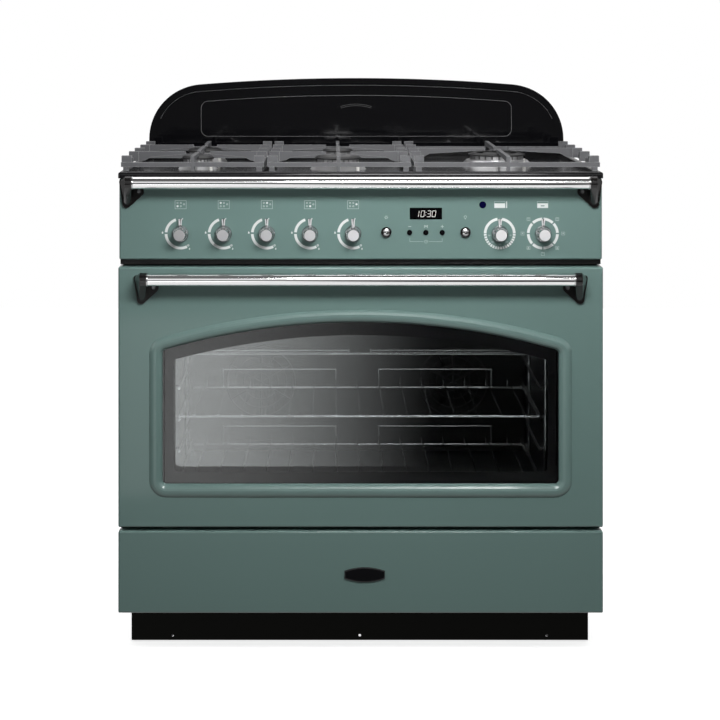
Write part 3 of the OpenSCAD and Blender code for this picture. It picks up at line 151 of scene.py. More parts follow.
def build_edge_group() -> bpy.types.NodeTree:
    """Builds the edge group for wear and painted highlights, whose Mask is 1 on outer edges and 0 on flat faces.

    Returns:
        The group, with inputs Radius and Gain and the output Mask.
    """
    tree = make_group("edge_wear_and_highlight", {"Radius": 0.001, "Gain": 3.0}, ("Mask",))
    nodes, links = tree.nodes, tree.links
    rounded = nodes.new("ShaderNodeBevel")
    rounded.samples = 4
    flat = nodes.new("ShaderNodeNewGeometry")
    dot = nodes.new("ShaderNodeVectorMath")
    dot.operation = "DOT_PRODUCT"
    turned = nodes.new("ShaderNodeMath")
    turned.operation = "SUBTRACT"
    turned.inputs[0].default_value = 1.0
    gained = nodes.new("ShaderNodeMath")
    gained.operation = "MULTIPLY"
    gained.use_clamp = True
    links.new(nodes["Group Input"].outputs["Radius"], rounded.inputs["Radius"])
    links.new(rounded.outputs["Normal"], dot.inputs[0])
    links.new(flat.outputs["True Normal"], dot.inputs[1])
    links.new(dot.outputs["Value"], turned.inputs[1])
    links.new(turned.outputs["Value"], gained.inputs[0])
    links.new(nodes["Group Input"].outputs["Gain"], gained.inputs[1])
    links.new(gained.outputs["Value"], nodes["Group Output"].inputs["Mask"])
    return tree


RELIEF = {grain: build_relief_group(grain) for grain in Grain if grain is not Grain.SMOOTH}
EDGE = build_edge_group()


def blend(tree: bpy.types.NodeTree, mask: bpy.types.NodeSocket, base: bpy.types.NodeSocket | tuple,
          over: tuple[float, float, float]) -> bpy.types.NodeSocket:
    """Lays one colour over another by a mask.

    Args:
        tree: The material's node tree.
        mask: 0 where the base shows and 1 where the other colour does.
        base: The base colour, or the socket that carries it.
        over: The colour laid over it.

    Returns:
        The socket of the mixed colour.
    """
    mix = tree.nodes.new("ShaderNodeMix")
    mix.data_type = "RGBA"
    mix.inputs["B"].default_value = (*over, 1.0)
    if isinstance(base, bpy.types.NodeSocket):
        tree.links.new(base, mix.inputs["A"])
    else:
        mix.inputs["A"].default_value = (*base, 1.0)
    tree.links.new(mask, mix.inputs["Factor"])
    return mix.outputs["Result"]


@dataclass(frozen=True)
class Finish:
    """One surface finish, turned into a material when it is first used."""

    name: str
    color: tuple[float, float, float]
    roughness: float
    metallic: float = 0.0
    coat: float = 0.0
    coat_roughness: float = 0.03
    grain: Grain = Grain.PEEL
    grain_scale: float = 220.0
    relief: float = 0.04
    blotch: float = 4.0
    shade: float = 0.92
    rough_spread: float = 0.05
    specular: float = 0.5
    ior: float = 1.5
    anisotropy: float = 0.0
    transmission: float = 0.0
    glow: float = 0.0
    # edge lightening, partly wear and partly painted highlight: its radius, colour and gain
    edge: float = 0.0
    edge_wear_highlight_color: tuple[float, float, float] = (0.3, 0.3, 0.31)
    edge_gain: float = 3.0
    # painted dark reflection: how strongly, and to which colour, a surface turned away from the front is darkened
    painted_rim_gain: float = 0.0
    painted_rim_color: tuple[float, float, float] = (0.015, 0.015, 0.016)

    def material(self) -> bpy.types.Material:
        """Makes the finish's material on first use.

        Returns:
            The material, which every piece with this finish shares.
        """
        label = self.name + "_finish"
        known = bpy.data.materials.get(label)
        if known is not None:
            return known
        mat = bpy.data.materials.new(label)
        mat.use_nodes = True
        shader = mat.node_tree.nodes["Principled BSDF"]
        plain = {
            "Metallic": self.metallic, "Roughness": self.roughness, "IOR": self.ior,
            "Specular IOR Level": self.specular, "Coat Weight": self.coat, "Coat Roughness": self.coat_roughness,
            "Anisotropic": self.anisotropy, "Transmission Weight": self.transmission,
        }
        for socket, value in plain.items():
            shader.inputs[socket].default_value = value
        shader.inputs["Base Color"].default_value = (*self.color, 1.0)
        if self.glow > 0.0:
            shader.inputs["Emission Color"].default_value = (*self.color, 1.0)
            shader.inputs["Emission Strength"].default_value = self.glow
        if self.grain is not Grain.SMOOTH:
            self._dress(mat.node_tree, shader)
        mat.diffuse_color = (*self.color, 1.0)
        return mat

    def _dress(self, tree: bpy.types.NodeTree, shader: bpy.types.Node) -> None:
        """Feeds the grain's height and mask into colour, roughness and bump.

        Args:
            tree: The material's node tree.
            shader: Its Principled shader.
        """
        group = tree.nodes.new("ShaderNodeGroup")
        group.node_tree = RELIEF[self.grain]
        group.inputs["Scale"].default_value = self.grain_scale
        group.inputs["Blotch"].default_value = self.blotch
        mask = group.outputs["Height" if self.grain is Grain.SPECKLE else "Mask"]
        tinted = blend(tree, mask, tuple(c * self.shade for c in self.color), self.color)
        # lighter edges: wear and painted highlight
        if self.edge > 0.0:
            tinted = self._wear_and_highlight(tree, tinted)
        # painted dark reflection round the rim of a domed button
        if self.painted_rim_gain > 0.0:
            tinted = self._paint_rim_reflection(tree, tinted)
        tree.links.new(tinted, shader.inputs["Base Color"])
        spread = tree.nodes.new("ShaderNodeMapRange")
        spread.inputs["To Min"].default_value = max(0.0, self.roughness - self.rough_spread)
        spread.inputs["To Max"].default_value = min(1.0, self.roughness + self.rough_spread)
        tree.links.new(group.outputs["Mask"], spread.inputs["Value"])
        tree.links.new(spread.outputs["Result"], shader.inputs["Roughness"])
        bump = tree.nodes.new("ShaderNodeBump")
        bump.inputs["Strength"].default_value = self.relief
        bump.inputs["Distance"].default_value = RELIEF_DEPTH
        tree.links.new(group.outputs["Height"], bump.inputs["Height"])
        tree.links.new(bump.outputs["Normal"], shader.inputs["Normal"])

    def _paint_rim_reflection(self, tree: bpy.types.NodeTree, tinted: bpy.types.NodeSocket) -> bpy.types.NodeSocket:
        """Paints a dark reflection into a colour, darkening it where the surface turns away from the cooker's front.

        Args:
            tree: The material's node tree.
            tinted: The colour so far.

        Returns:
            The colour with its painted dark reflection at the rim.
        """
        shape = tree.nodes.new("ShaderNodeNewGeometry")
        split = tree.nodes.new("ShaderNodeSeparateXYZ")
        turned = tree.nodes.new("ShaderNodeMath")
        turned.operation = "MULTIPLY_ADD"
        turned.use_clamp = True
        turned.inputs[1].default_value = turned.inputs[2].default_value = self.painted_rim_gain
        tree.links.new(shape.outputs["Normal"], split.inputs["Vector"])
        tree.links.new(split.outputs["Y"], turned.inputs[0])
        return blend(tree, turned.outputs["Value"], tinted, self.painted_rim_color)

    def _wear_and_highlight(self, tree: bpy.types.NodeTree, tinted: bpy.types.NodeSocket) -> bpy.types.NodeSocket:
        """Lightens the edges of a colour: partly wear and partly painted highlight on the cast iron, and painted
        highlight on the gloss black brackets.

        Args:
            tree: The material's node tree.
            tinted: The colour so far.

        Returns:
            The colour with its worn and painted-highlight edges.
        """
        group = tree.nodes.new("ShaderNodeGroup")
        group.node_tree = EDGE
        group.inputs["Radius"].default_value = self.edge
        group.inputs["Gain"].default_value = self.edge_gain
        return blend(tree, group.outputs["Mask"], tinted, self.edge_wear_highlight_color)


class Finishes:
    """The cooker's finishes, by the job that each one does."""

    green = Finish("soft_green_paint", (0.162, 0.256, 0.238), 0.34, coat=0.4, coat_roughness=0.07, relief=0.03,
                   shade=0.97, specular=0.3)
    side_green = Finish("side_green_paint", (0.15, 0.235, 0.216), 0.42, coat=0.2, coat_roughness=0.2, shade=0.96)
    hob_black = Finish("hob_gloss_enamel", (0.006, 0.006, 0.007), 0.16, coat=0.05, coat_roughness=0.05,
                       relief=0.02, specular=0.35)
    splash_black = Finish("splashback_gloss_enamel", (0.003, 0.003, 0.004), 0.08, coat=0.2, relief=0.012,
                          specular=0.4)
    # lighter than the splashback enamel: painted highlight lines along its band and panel
    splash_highlight_edge = Finish("splashback_highlight_enamel", (0.1, 0.1, 0.105), 0.25, coat=0.8, relief=0.012)
    cap_black = Finish("burner_cap_enamel", (0.012, 0.012, 0.013), 0.4, grain=Grain.CAST, grain_scale=500.0, relief=0.2)
    # light edges: partly wear and partly painted highlight
    cast_grey = Finish("grey_cast_iron", (0.13, 0.132, 0.14), 0.52, grain=Grain.CAST, grain_scale=650.0, relief=0.5,
                       shade=0.78, blotch=9.0, rough_spread=0.12, edge=0.0015, edge_wear_highlight_color=(0.36, 0.36, 0.37))
    burner = Finish("burner_aluminium", (0.62, 0.62, 0.63), 0.34, metallic=1.0, grain=Grain.CAST, grain_scale=420.0,
                    relief=0.15, shade=0.8)
    rail = Finish("polished_steel_tube", (0.88, 0.88, 0.88), 0.12, metallic=1.0, grain=Grain.BRUSHED,
                  grain_scale=900.0, relief=0.01, shade=0.95, anisotropy=0.3)
    chrome = Finish("knob_chrome", (0.62, 0.62, 0.63), 0.08, metallic=1.0, grain_scale=90.0, relief=0.01, shade=0.94)
    # its rim is darkened in colour, a painted dark reflection of the surroundings at the dome's edge
    button_chrome = Finish("push_button_chrome", (0.78, 0.78, 0.79), 0.08, metallic=1.0, relief=0.01,
                           painted_rim_gain=9.0)
    # light satin strips that paint the highlights on the chrome pointers
    pointer = Finish("knob_pointer_highlight_satin", (0.78, 0.78, 0.79), 0.3, metallic=0.2, relief=0.05)
    cap_white = Finish("knob_cap_satin", (0.92, 0.92, 0.93), 0.3, metallic=0.25, grain=Grain.BRUSHED, relief=0.05)
    cap_grey = Finish("burner_knob_cap_satin", (0.42, 0.43, 0.44), 0.3, metallic=0.3, grain=Grain.BRUSHED,
                      relief=0.05)
    # its lighter edges are a painted highlight along its ridges
    bracket = Finish("bracket_gloss_black", (0.006, 0.005, 0.005), 0.16, coat=0.3, grain=Grain.CAST,
                     grain_scale=260.0, relief=0.03, specular=0.35, edge=0.001, edge_wear_highlight_color=(0.08, 0.075, 0.07))
    plinth = Finish("plinth_satin_black", (0.003, 0.003, 0.002), 0.42, relief=0.05, specular=0.1)
    galvanised = Finish("galvanised_sheet", (0.5, 0.51, 0.52), 0.38, metallic=0.9, grain=Grain.CAST, grain_scale=60.0,
                        relief=0.05, shade=0.75, blotch=30.0)
    plain_steel = Finish("zinc_steel", (0.32, 0.32, 0.33), 0.42, metallic=0.9, grain=Grain.CAST, relief=0.08, shade=0.8)
    oven_enamel = Finish("oven_speckled_enamel", (0.03, 0.03, 0.032), 0.32, coat=0.15, grain=Grain.SPECKLE,
                         grain_scale=900.0, relief=0.02, shade=0.7)
    frame_black = Finish("oven_front_enamel", (0.012, 0.012, 0.012), 0.24, coat=0.4, grain=Grain.SPECKLE,
                         grain_scale=900.0, relief=0.02, shade=0.5)
    seal = Finish("seal_rubber", (0.02, 0.02, 0.02), 0.7, grain=Grain.CAST, grain_scale=400.0, relief=0.2)
    rubber = Finish("roller_rubber", (0.02, 0.02, 0.02), 0.6, grain=Grain.CAST, grain_scale=300.0, relief=0.2)
    wire = Finish("shelf_wire_chrome", (0.78, 0.78, 0.79), 0.16, metallic=1.0, grain_scale=60.0, relief=0.02)
    fan_dark = Finish("fan_dark_steel", (0.05, 0.05, 0.052), 0.5, metallic=0.6, grain=Grain.CAST, relief=0.1)
    liner = Finish("oven_liner_enamel", (0.014, 0.014, 0.015), 0.35, coat=0.1, grain=Grain.SPECKLE,
                   grain_scale=900.0, relief=0.02, shade=0.8)
    element = Finish("element_sheath", (0.12, 0.12, 0.13), 0.42, metallic=0.8, grain=Grain.CAST, relief=0.2, shade=0.6)
    brass = Finish("gas_pipe_brass", (0.56, 0.42, 0.18), 0.34, metallic=1.0, grain=Grain.CAST, relief=0.08, shade=0.75)
    ivory = Finish("switch_ivory_plastic", (0.75, 0.74, 0.7), 0.45, relief=0.06)
    ceramic = Finish("electrode_ceramic", (0.82, 0.81, 0.78), 0.3, relief=0.04)
    button = Finish("clock_button_gloss", (0.003, 0.003, 0.004), 0.2, relief=0.02, specular=0.2)
    lens = Finish("display_lens", (0.001, 0.001, 0.002), 0.05, relief=0.004, specular=0.25)
    door_inner = Finish("door_inner_enamel", (0.02, 0.02, 0.021), 0.25, coat=0.4, relief=0.02)
    glass = Finish("door_glass", (0.86, 0.88, 0.88), 0.0, grain=Grain.SMOOTH, transmission=1.0, ior=1.4)
    coated_glass = Finish("door_coated_glass", (0.8, 0.82, 0.82), 0.0, grain=Grain.SMOOTH, transmission=1.0, ior=2.0)
    lamp_glass = Finish("lamp_dome_glass", (0.95, 0.95, 0.92), 0.1, grain=Grain.SMOOTH, transmission=0.9, ior=1.45)
    frit = Finish("window_printed_border", (0.004, 0.004, 0.005), 0.4, relief=0.002, specular=0.2)
    print_white = Finish("fascia_print_white", (0.8, 0.83, 0.82), 0.45, relief=0.03)
    print_soft = Finish("fascia_print_soft", (0.54, 0.62, 0.6), 0.45, relief=0.03)
    navy_lens = Finish("indicator_navy_lens", (0.001, 0.001, 0.03), 0.15, relief=0.004, specular=0.2)
    digits = Finish("clock_digit_glow", (0.72, 0.69, 0.66), 0.4, grain=Grain.SMOOTH, glow=0.75)
    screw = Finish("screw_steel", (0.3, 0.3, 0.31), 0.3, metallic=1.0, grain=Grain.BRUSHED, relief=0.05)


WEARERS: dict[Finish, str] = {
    Finishes.plain_steel: ("base_frame feet fan_motors hinge_arms door_hinge_plates burner_spindle_1 burner_spindle_2 "
                           "burner_spindle_3 burner_spindle_4 burner_spindle_5"),
    Finishes.rubber: "rear_roller_left rear_roller_right",
    Finishes.plinth: "plinth",
    Finishes.side_green: "side_panels",
    Finishes.galvanised: "back_panel drawer_runners drawer_box",
    Finishes.oven_enamel: "oven_cavity",
    Finishes.frame_black: "oven_front_frame",
    Finishes.liner: "oven_back_liner",
    Finishes.seal: "door_seal",
    Finishes.wire: "side_racks oven_shelves",
    Finishes.element: "heating_elements",
    Finishes.lamp_glass: "oven_lamp",
    Finishes.fan_dark: "fan_left fan_right",
    Finishes.green: "control_panel door_panel drawer_front",
    Finishes.lens: "panel_lenses",
    Finishes.brass: "gas_rail",
    Finishes.ivory: "oven_switches",
    Finishes.chrome: ("temperature_knob function_knob burner_knob_1 burner_knob_2 burner_knob_3 burner_knob_4 "
                      "burner_knob_5"),
    Finishes.button_chrome: "ignition_button light_button",
    Finishes.button: "clock_button_minus clock_button_mode clock_button_plus",
    Finishes.hob_black: "hob_tray",
    Finishes.burner: "burner_bodies",
    Finishes.cap_black: "burner_caps",
    Finishes.ceramic: "spark_electrodes",
    Finishes.cast_grey: "pan_support_left pan_support_middle pan_support_right",
    Finishes.splash_black: "splashback",
    Finishes.rail: "handrail_tube door_handle_tube",
    Finishes.bracket: "handrail_brackets door_handle_brackets",
    Finishes.glass: "door_outer_glass",
    Finishes.door_inner: "door_inner_frame",
    Finishes.coated_glass: "door_inner_glass",
}
NODE_FINISH = {node: look for look, nodes in WEARERS.items() for node in nodes.split()}


def dress_frame() -> None:
    """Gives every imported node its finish."""
    for name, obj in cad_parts.items():
        finish = NODE_FINISH[name]
        obj.data.materials.clear()
        obj.data.materials.append(finish.material())
        LOG.info("node %s wears %s", name, finish.name)


def finish_piece(bm: bmesh.types.BMesh, name: str, look: Finish, body: str,
                 smooth: bool = False) -> bpy.types.Object:
    """Turns a bmesh into a named piece that rides on a body.

    Args:
        bm: The shape, already in place.
        name: Name of the piece.
        look: Its finish.
        body: The CAD body that it rides on.
        smooth: Whether its faces shade smoothly.

    Returns:
        The new object.
    """
    bmesh.ops.remove_doubles(bm, verts=bm.verts, dist=WELD_DISTANCE)
    bmesh.ops.recalc_face_normals(bm, faces=bm.faces)
    mesh = bpy.data.meshes.new(name)
    bm.to_mesh(mesh)
    bm.free()
    for poly in mesh.polygons:
        poly.use_smooth = smooth
    obj = bpy.data.objects.new(name, mesh)
    bpy.context.scene.collection.objects.link(obj)
    obj.data.materials.append(look.material())
    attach(obj, body)
    LOG.info("piece %s rides on %s", name, body)
    return obj


def to_front(x: float, y: float, z: float) -> Matrix:
    """Returns the placement that stands a flat XY drawing up at (x, y, z), facing the front."""
    return Matrix.Translation((x, y, z)) @ Matrix.Rotation(math.pi / 2, 4, "X")


def add_arc_band(bm: bmesh.types.BMesh, center: Vector, inner: float, outer: float, start: float, end: float) -> None:
    """Adds a flat band along an arc of the XY plane.

    Args:
        bm: Mesh that gets the band.
        center: Centre of the arc.
        inner: Inner radius.
        outer: Outer radius.
        start: First angle in degrees, anticlockwise from +X.
        end: Last angle in degrees.
    """
    turn = Matrix.Rotation(math.radians(start), 3, "Z")
    ends = [bm.verts.new(center + turn @ Vector((r, 0.0, 0.0))) for r in (inner, outer)]
    edge = bm.edges.new(ends)
    sweep = abs(end - start)
    steps = max(1, round(sweep / ARC_STEP_DEGREES), round(math.radians(sweep) * outer / ARC_STEP_LENGTH))
    bmesh.ops.spin(bm, geom=[*ends, edge], cent=center, axis=(0, 0, 1), angle=math.radians(end - start), steps=steps,
                   use_merge=sweep >= 360.0)


def add_disc(bm: bmesh.types.BMesh, x: float, y: float, radius: float, segments: int) -> None:
    """Adds a flat disc in the XY plane."""
    bmesh.ops.create_circle(bm, cap_ends=True, segments=segments, radius=radius, matrix=Matrix.Translation((x, y, 0)))


def add_bar(bm: bmesh.types.BMesh, x: float, y: float, width: float, height: float, slant: float = 0.0) -> None:
    """Adds a flat rectangle of the XY plane.

    Args:
        bm: Mesh that gets the rectangle.
        x: Its centre across.
        y: Its centre in height.
        width: Its width.
        height: Its height.
        slant: How far it leans to the right for each unit of height.
    """
    shear = Matrix.Shear("XY", 4, (0.0, 0.0))
    shear[0][1] = slant
    place = Matrix.Translation((x, y, 0)) @ shear @ Matrix.Diagonal((width, height, 1.0, 1.0))
    bmesh.ops.create_grid(bm, x_segments=1, y_segments=1, size=0.5, matrix=place)


def add_box_outline(bm: bmesh.types.BMesh, x: float, y: float, width: float, height: float, line: float) -> None:
    """Adds a thin rectangular outline to the XY plane.

    Args:
        bm: Mesh that gets the outline.
        x: Its centre across.
        y: Its centre in height.
        width: Its outer width.
        height: Its outer height.
        line: Width of its line.
    """
    for side in (-1, 1):
        add_bar(bm, x, y + side * (height - line) / 2, width, line)
        add_bar(bm, x + side * (width - line) / 2, y, line, height - 2 * line)


def thicken(bm: bmesh.types.BMesh, depth: float) -> None:
    """Gives every flat face of a drawing a small thickness towards +Z.

    Args:
        bm: The flat drawing.
        depth: Thickness in metres.
    """
    bmesh.ops.recalc_face_normals(bm, faces=bm.faces)
    raised = bmesh.ops.extrude_face_region(bm, geom=list(bm.faces), use_keep_orig=True)["geom"]
    verts = [g for g in raised if isinstance(g, bmesh.types.BMVert)]
    bmesh.ops.translate(bm, verts=verts, vec=(0, 0, depth))
    bmesh.ops.recalc_face_normals(bm, faces=bm.faces)


def outline_edges(bm: bmesh.types.BMesh, arcs: Iterable[tuple[float, float, float, float, float, int]]) -> list:
    """Adds one closed line that runs through a chain of arcs.

    Args:
        bm: Mesh that gets the line.
        arcs: For each arc its centre x, centre y, radius, first angle, last angle and number of steps.

    Returns:
        The line's edges.
    """
    first = last = None
    edges: list[bmesh.types.BMEdge] = []
    for cx, cy, radius, start, end, steps in arcs:
        turn = math.radians(start)
        begin = bm.verts.new((cx + radius * math.cos(turn), cy + radius * math.sin(turn), 0.0))
        known = set(bm.edges)
        spun = bmesh.ops.spin(bm, geom=[begin], cent=(cx, cy, 0), axis=(0, 0, 1), angle=math.radians(end - start),
                              steps=steps, use_merge=False)
        edges += [e for e in bm.edges if e not in known]
        if last is not None:
            edges.append(bm.edges.new((last, begin)))
        first = first or begin
        last = next(g for g in spun["geom_last"] if isinstance(g, bmesh.types.BMVert))
    return [*edges, bm.edges.new((last, first))]


def outline_face(bm: bmesh.types.BMesh, arcs: Iterable[tuple[float, float, float, float, float, int]]) -> list:
    """Adds one flat face inside a chain of arcs and returns it in a list."""
    return bmesh.ops.contextual_create(bm, geom=outline_edges(bm, arcs))["faces"]


def arched_arcs(half_w: float, low: float, high: float, arch_r: float, corner_r: float) -> tuple:
    """Works out the arcs of an outline with upright sides and an arched top.

    Args:
        half_w: Half of its width.
        low: Height of its lower edge.
        high: Height of its top in the middle.
        arch_r: Radius of the arch.
        corner_r: Radius of its corners.

    Returns:
        Five arcs, anticlockwise from the lower right corner.
    """
    corner_x = half_w - corner_r
    reach = arch_r - corner_r
    arch_z = high - arch_r
    corner_z = arch_z + math.sqrt(reach ** 2 - corner_x ** 2)
    half = math.degrees(math.asin(corner_x / reach))
    low_z = low + corner_r
    return (
        (corner_x, low_z, corner_r, -90, 0, CORNER_STEPS),
        (corner_x, corner_z, corner_r, 0, 90 - half, CORNER_STEPS),
        (0, arch_z, arch_r, 90 - half, 90 + half, ARCH_STEPS),
        (-corner_x, corner_z, corner_r, 90 + half, 180, CORNER_STEPS),
        (-corner_x, low_z, corner_r, 180, 270, CORNER_STEPS),
    )


def soften(bm: bmesh.types.BMesh, edges: Iterable, width: float) -> None:
    """Rounds edges with a bevel."""
    bmesh.ops.bevel(bm, geom=list(edges), offset=width, offset_type="OFFSET", affect="EDGES", segments=2, profile=0.5,
                    material=-1)


@dataclass
class Studio:
    """Camera, floor and soft lights."""

    focal_px: float = 1725.0
    principal: tuple[float, float] = (331.0, 33.0)
    image: float = 720.0
    place: tuple[float, float, float] = (-0.055, -3.476, 1.1625)
    sensor_mm: float = 36.0
    card_glow: float = 1.65
    floor_lift: float = 0.75
    room_light: tuple[tuple[float, float], ...] = ((-1.0, 0.03), (-0.2, 0.05), (0.35, 0.2), (1.0, 0.5))
    room_mirror: tuple[tuple[float, float], ...] = (
        (-1.0, 0.9), (-0.52, 0.9), (-0.36, 0.1), (0.02, 0.1), (0.12, 0.85), (0.46, 0.85), (0.58, 0.12), (1.0, 0.12))
    room_seen: tuple[tuple[float, float], ...] = ((-1.0, 1.0), (1.0, 1.0))
    floor_middle: tuple[float, float, float] = (0.0, 1.2, 0.0)
    floor_size: tuple[float, float] = (9.0, 5.2)
    card_low: tuple[float, float, float] = (-0.62, -1.6, -0.05)
    card_high: tuple[float, float, float] = (0.64, -1.6, 0.42)
    card_fade: tuple[float, float] = (-0.52, 0.24)
    lamps: tuple[tuple, ...] = (
        ("key_front", (0.15, -1.2, 1.39), (0.05, -0.27, 0.86), (0.6, 0.26), 12.5),
        ("hob_fill", (0.0, 0.5, 2.6), (0.0, 0.0, 0.9), (2.2, 1.2), 16.0),
        ("edge_left", (-2.4, -1.1, 1.3), (0.0, -0.2, 0.6), (0.5, 1.6), 5.0),
        ("edge_right", (2.4, -1.1, 1.3), (0.0, -0.2, 0.6), (0.5, 1.6), 4.0),
        ("oven_glow", (0.0, -0.12, 0.64), (0.0, 0.08, 0.4), (0.6, 0.1), 0.5))

    def build(self) -> None:
        """Makes the camera, floor, world, card and lights."""
        self._camera()
        self._floor()
        self._world()
        self._card()
        bpy.context.scene.view_settings.view_transform = "Standard"
        for lamp in self.lamps:
            self._light(*lamp)

    def _camera(self) -> None:
        """Makes the level camera, shifted down and right as the photograph is framed."""
        data = bpy.data.cameras.new("photo_camera")
        data.sensor_width = self.sensor_mm
        data.lens = self.focal_px / self.image * self.sensor_mm
        data.shift_x = (self.image / 2 - self.principal[0]) / self.image
        data.shift_y = (self.principal[1] - self.image / 2) / self.image
        cam = bpy.data.objects.new("photo_camera", data)
        cam.location = self.place
        cam.rotation_euler = (math.pi / 2, 0.0, 0.0)
        bpy.context.scene.collection.objects.link(cam)
        bpy.context.scene.camera = cam

    def _floor(self) -> None:
        """Makes the pale floor, which the camera sees lit up to white and nothing mirrors."""
        mat = Finish("studio_floor_paint", (0.9, 0.9, 0.9), 0.8, specular=0.0, relief=0.01, shade=0.995).material()
        tree = mat.node_tree
        shader = tree.nodes["Principled BSDF"]
        shader.inputs["Emission Color"].default_value = (1.0, 1.0, 1.0, 1.0)
        path = tree.nodes.new("ShaderNodeLightPath")
        lift = tree.nodes.new("ShaderNodeMath")
        lift.operation = "MULTIPLY"
        lift.inputs[1].default_value = self.floor_lift
        tree.links.new(path.outputs["Is Camera Ray"], lift.inputs[0])
        tree.links.new(lift.outputs["Value"], shader.inputs["Emission Strength"])
        place = Matrix.Translation(self.floor_middle) @ Matrix.Diagonal((*self.floor_size, 1.0, 1.0))
        floor = self._plane("studio_floor", place, mat)
        floor.visible_diffuse = floor.visible_glossy = False

    def _plane(self, name: str, place: Matrix, look: bpy.types.Material) -> bpy.types.Object:
        """Makes one flat piece of the stage.

        Args:
            name: Name of the object.
            place: Placement of a square of one metre.
            look: Its material.

        Returns:
            The new object.
        """
        bm = bmesh.new()
        bmesh.ops.create_grid(bm, x_segments=1, y_segments=1, size=0.5, matrix=place)
        mesh = bpy.data.meshes.new(name)
        bm.to_mesh(mesh)
        bm.free()
        mesh.materials.append(look)
        plane = bpy.data.objects.new(name, mesh)
        bpy.context.scene.collection.objects.link(plane)
        return plane

    def _world(self) -> None:
        """Makes a room that is white to the camera, soft from above and banded in the mirrors."""
        world = bpy.data.worlds.new("studio_world")
        bpy.context.scene.world = world
        world.use_nodes = True
        tree = world.node_tree
        tree.nodes.clear()
        coords = tree.nodes.new("ShaderNodeTexCoord")
        split = tree.nodes.new("ShaderNodeSeparateXYZ")
        tree.links.new(coords.outputs["Generated"], split.inputs["Vector"])
        height = tree.nodes.new("ShaderNodeMapRange")
        height.inputs["From Min"].default_value = -1.0
        tree.links.new(split.outputs["Z"], height.inputs["Value"])
        path = tree.nodes.new("ShaderNodeLightPath")
        shades = []
        for stops in (self.room_light, self.room_mirror, self.room_seen):
            fade = tree.nodes.new("ShaderNodeValToRGB")
            points = fade.color_ramp.elements
            for k, (z, strength) in enumerate(stops):
                point = points[k] if k < 2 else points.new(1.0)
                point.position = (z + 1.0) / 2
                point.color = (strength, strength, strength, 1.0)
            shade = tree.nodes.new("ShaderNodeBackground")
            tree.links.new(height.outputs["Result"], fade.inputs["Fac"])
            tree.links.new(fade.outputs["Color"], shade.inputs["Color"])
            shades.append(shade.outputs["Background"])
        mixed = shades[0]
        for label, shade in (("Is Glossy Ray", shades[1]), ("Is Camera Ray", shades[2])):
            mix = tree.nodes.new("ShaderNodeMixShader")
            tree.links.new(path.outputs[label], mix.inputs["Fac"])
            tree.links.new(mixed, mix.inputs[1])
            tree.links.new(shade, mix.inputs[2])
            mixed = mix.outputs["Shader"]
        out = tree.nodes.new("ShaderNodeOutputWorld")
        tree.links.new(mixed, out.inputs["Surface"])

    def _card(self) -> None:
        """Stands a glowing card low in front, which the camera sees only in reflections."""
        low, high = self.card_low, self.card_high
        middle = to_front((low[0] + high[0]) / 2, low[1], (low[2] + high[2]) / 2)
        scale = Matrix.Diagonal((high[0] - low[0], high[2] - low[2], 1.0, 1.0))
        mat = bpy.data.materials.new("glass_card_glow")
        mat.use_nodes = True
        tree = mat.node_tree
        tree.nodes.clear()
        coords = tree.nodes.new("ShaderNodeTexCoord")
        split = tree.nodes.new("ShaderNodeSeparateXYZ")
        fade = tree.nodes.new("ShaderNodeMapRange")
        fade.interpolation_type = "SMOOTHSTEP"
        for label, value in (("From Min", self.card_fade[0]), ("From Max", self.card_fade[1]),
                             ("To Min", self.card_glow), ("To Max", 0.0)):
            fade.inputs[label].default_value = value
        glow = tree.nodes.new("ShaderNodeEmission")
        out = tree.nodes.new("ShaderNodeOutputMaterial")
        tree.links.new(coords.outputs["Object"], split.inputs["Vector"])
        tree.links.new(split.outputs["X"], fade.inputs["Value"])
        tree.links.new(fade.outputs["Result"], glow.inputs["Strength"])
        tree.links.new(glow.outputs["Emission"], out.inputs["Surface"])
        card = self._plane("glass_card", middle @ scale, mat)
        card.visible_camera = card.visible_diffuse = card.visible_shadow = False

    def _light(self, name: str, place: tuple, aim: tuple, size: tuple[float, float], power: float) -> None:
        """Makes one rectangular soft light.

        Args:
            name: Name of the light.
            place: Where it stands.
            aim: The point that it faces.
            size: Width and height.
            power: Power in watts.
        """
        data = bpy.data.lights.new(name, "AREA")
        data.shape = "RECTANGLE"
        data.size, data.size_y = size
        data.energy = power
        lamp = bpy.data.objects.new(name, data)
        lamp.location = place
        lamp.rotation_euler = (Vector(aim) - Vector(place)).to_track_quat("-Z", "Y").to_euler()
        bpy.context.scene.collection.objects.link(lamp)


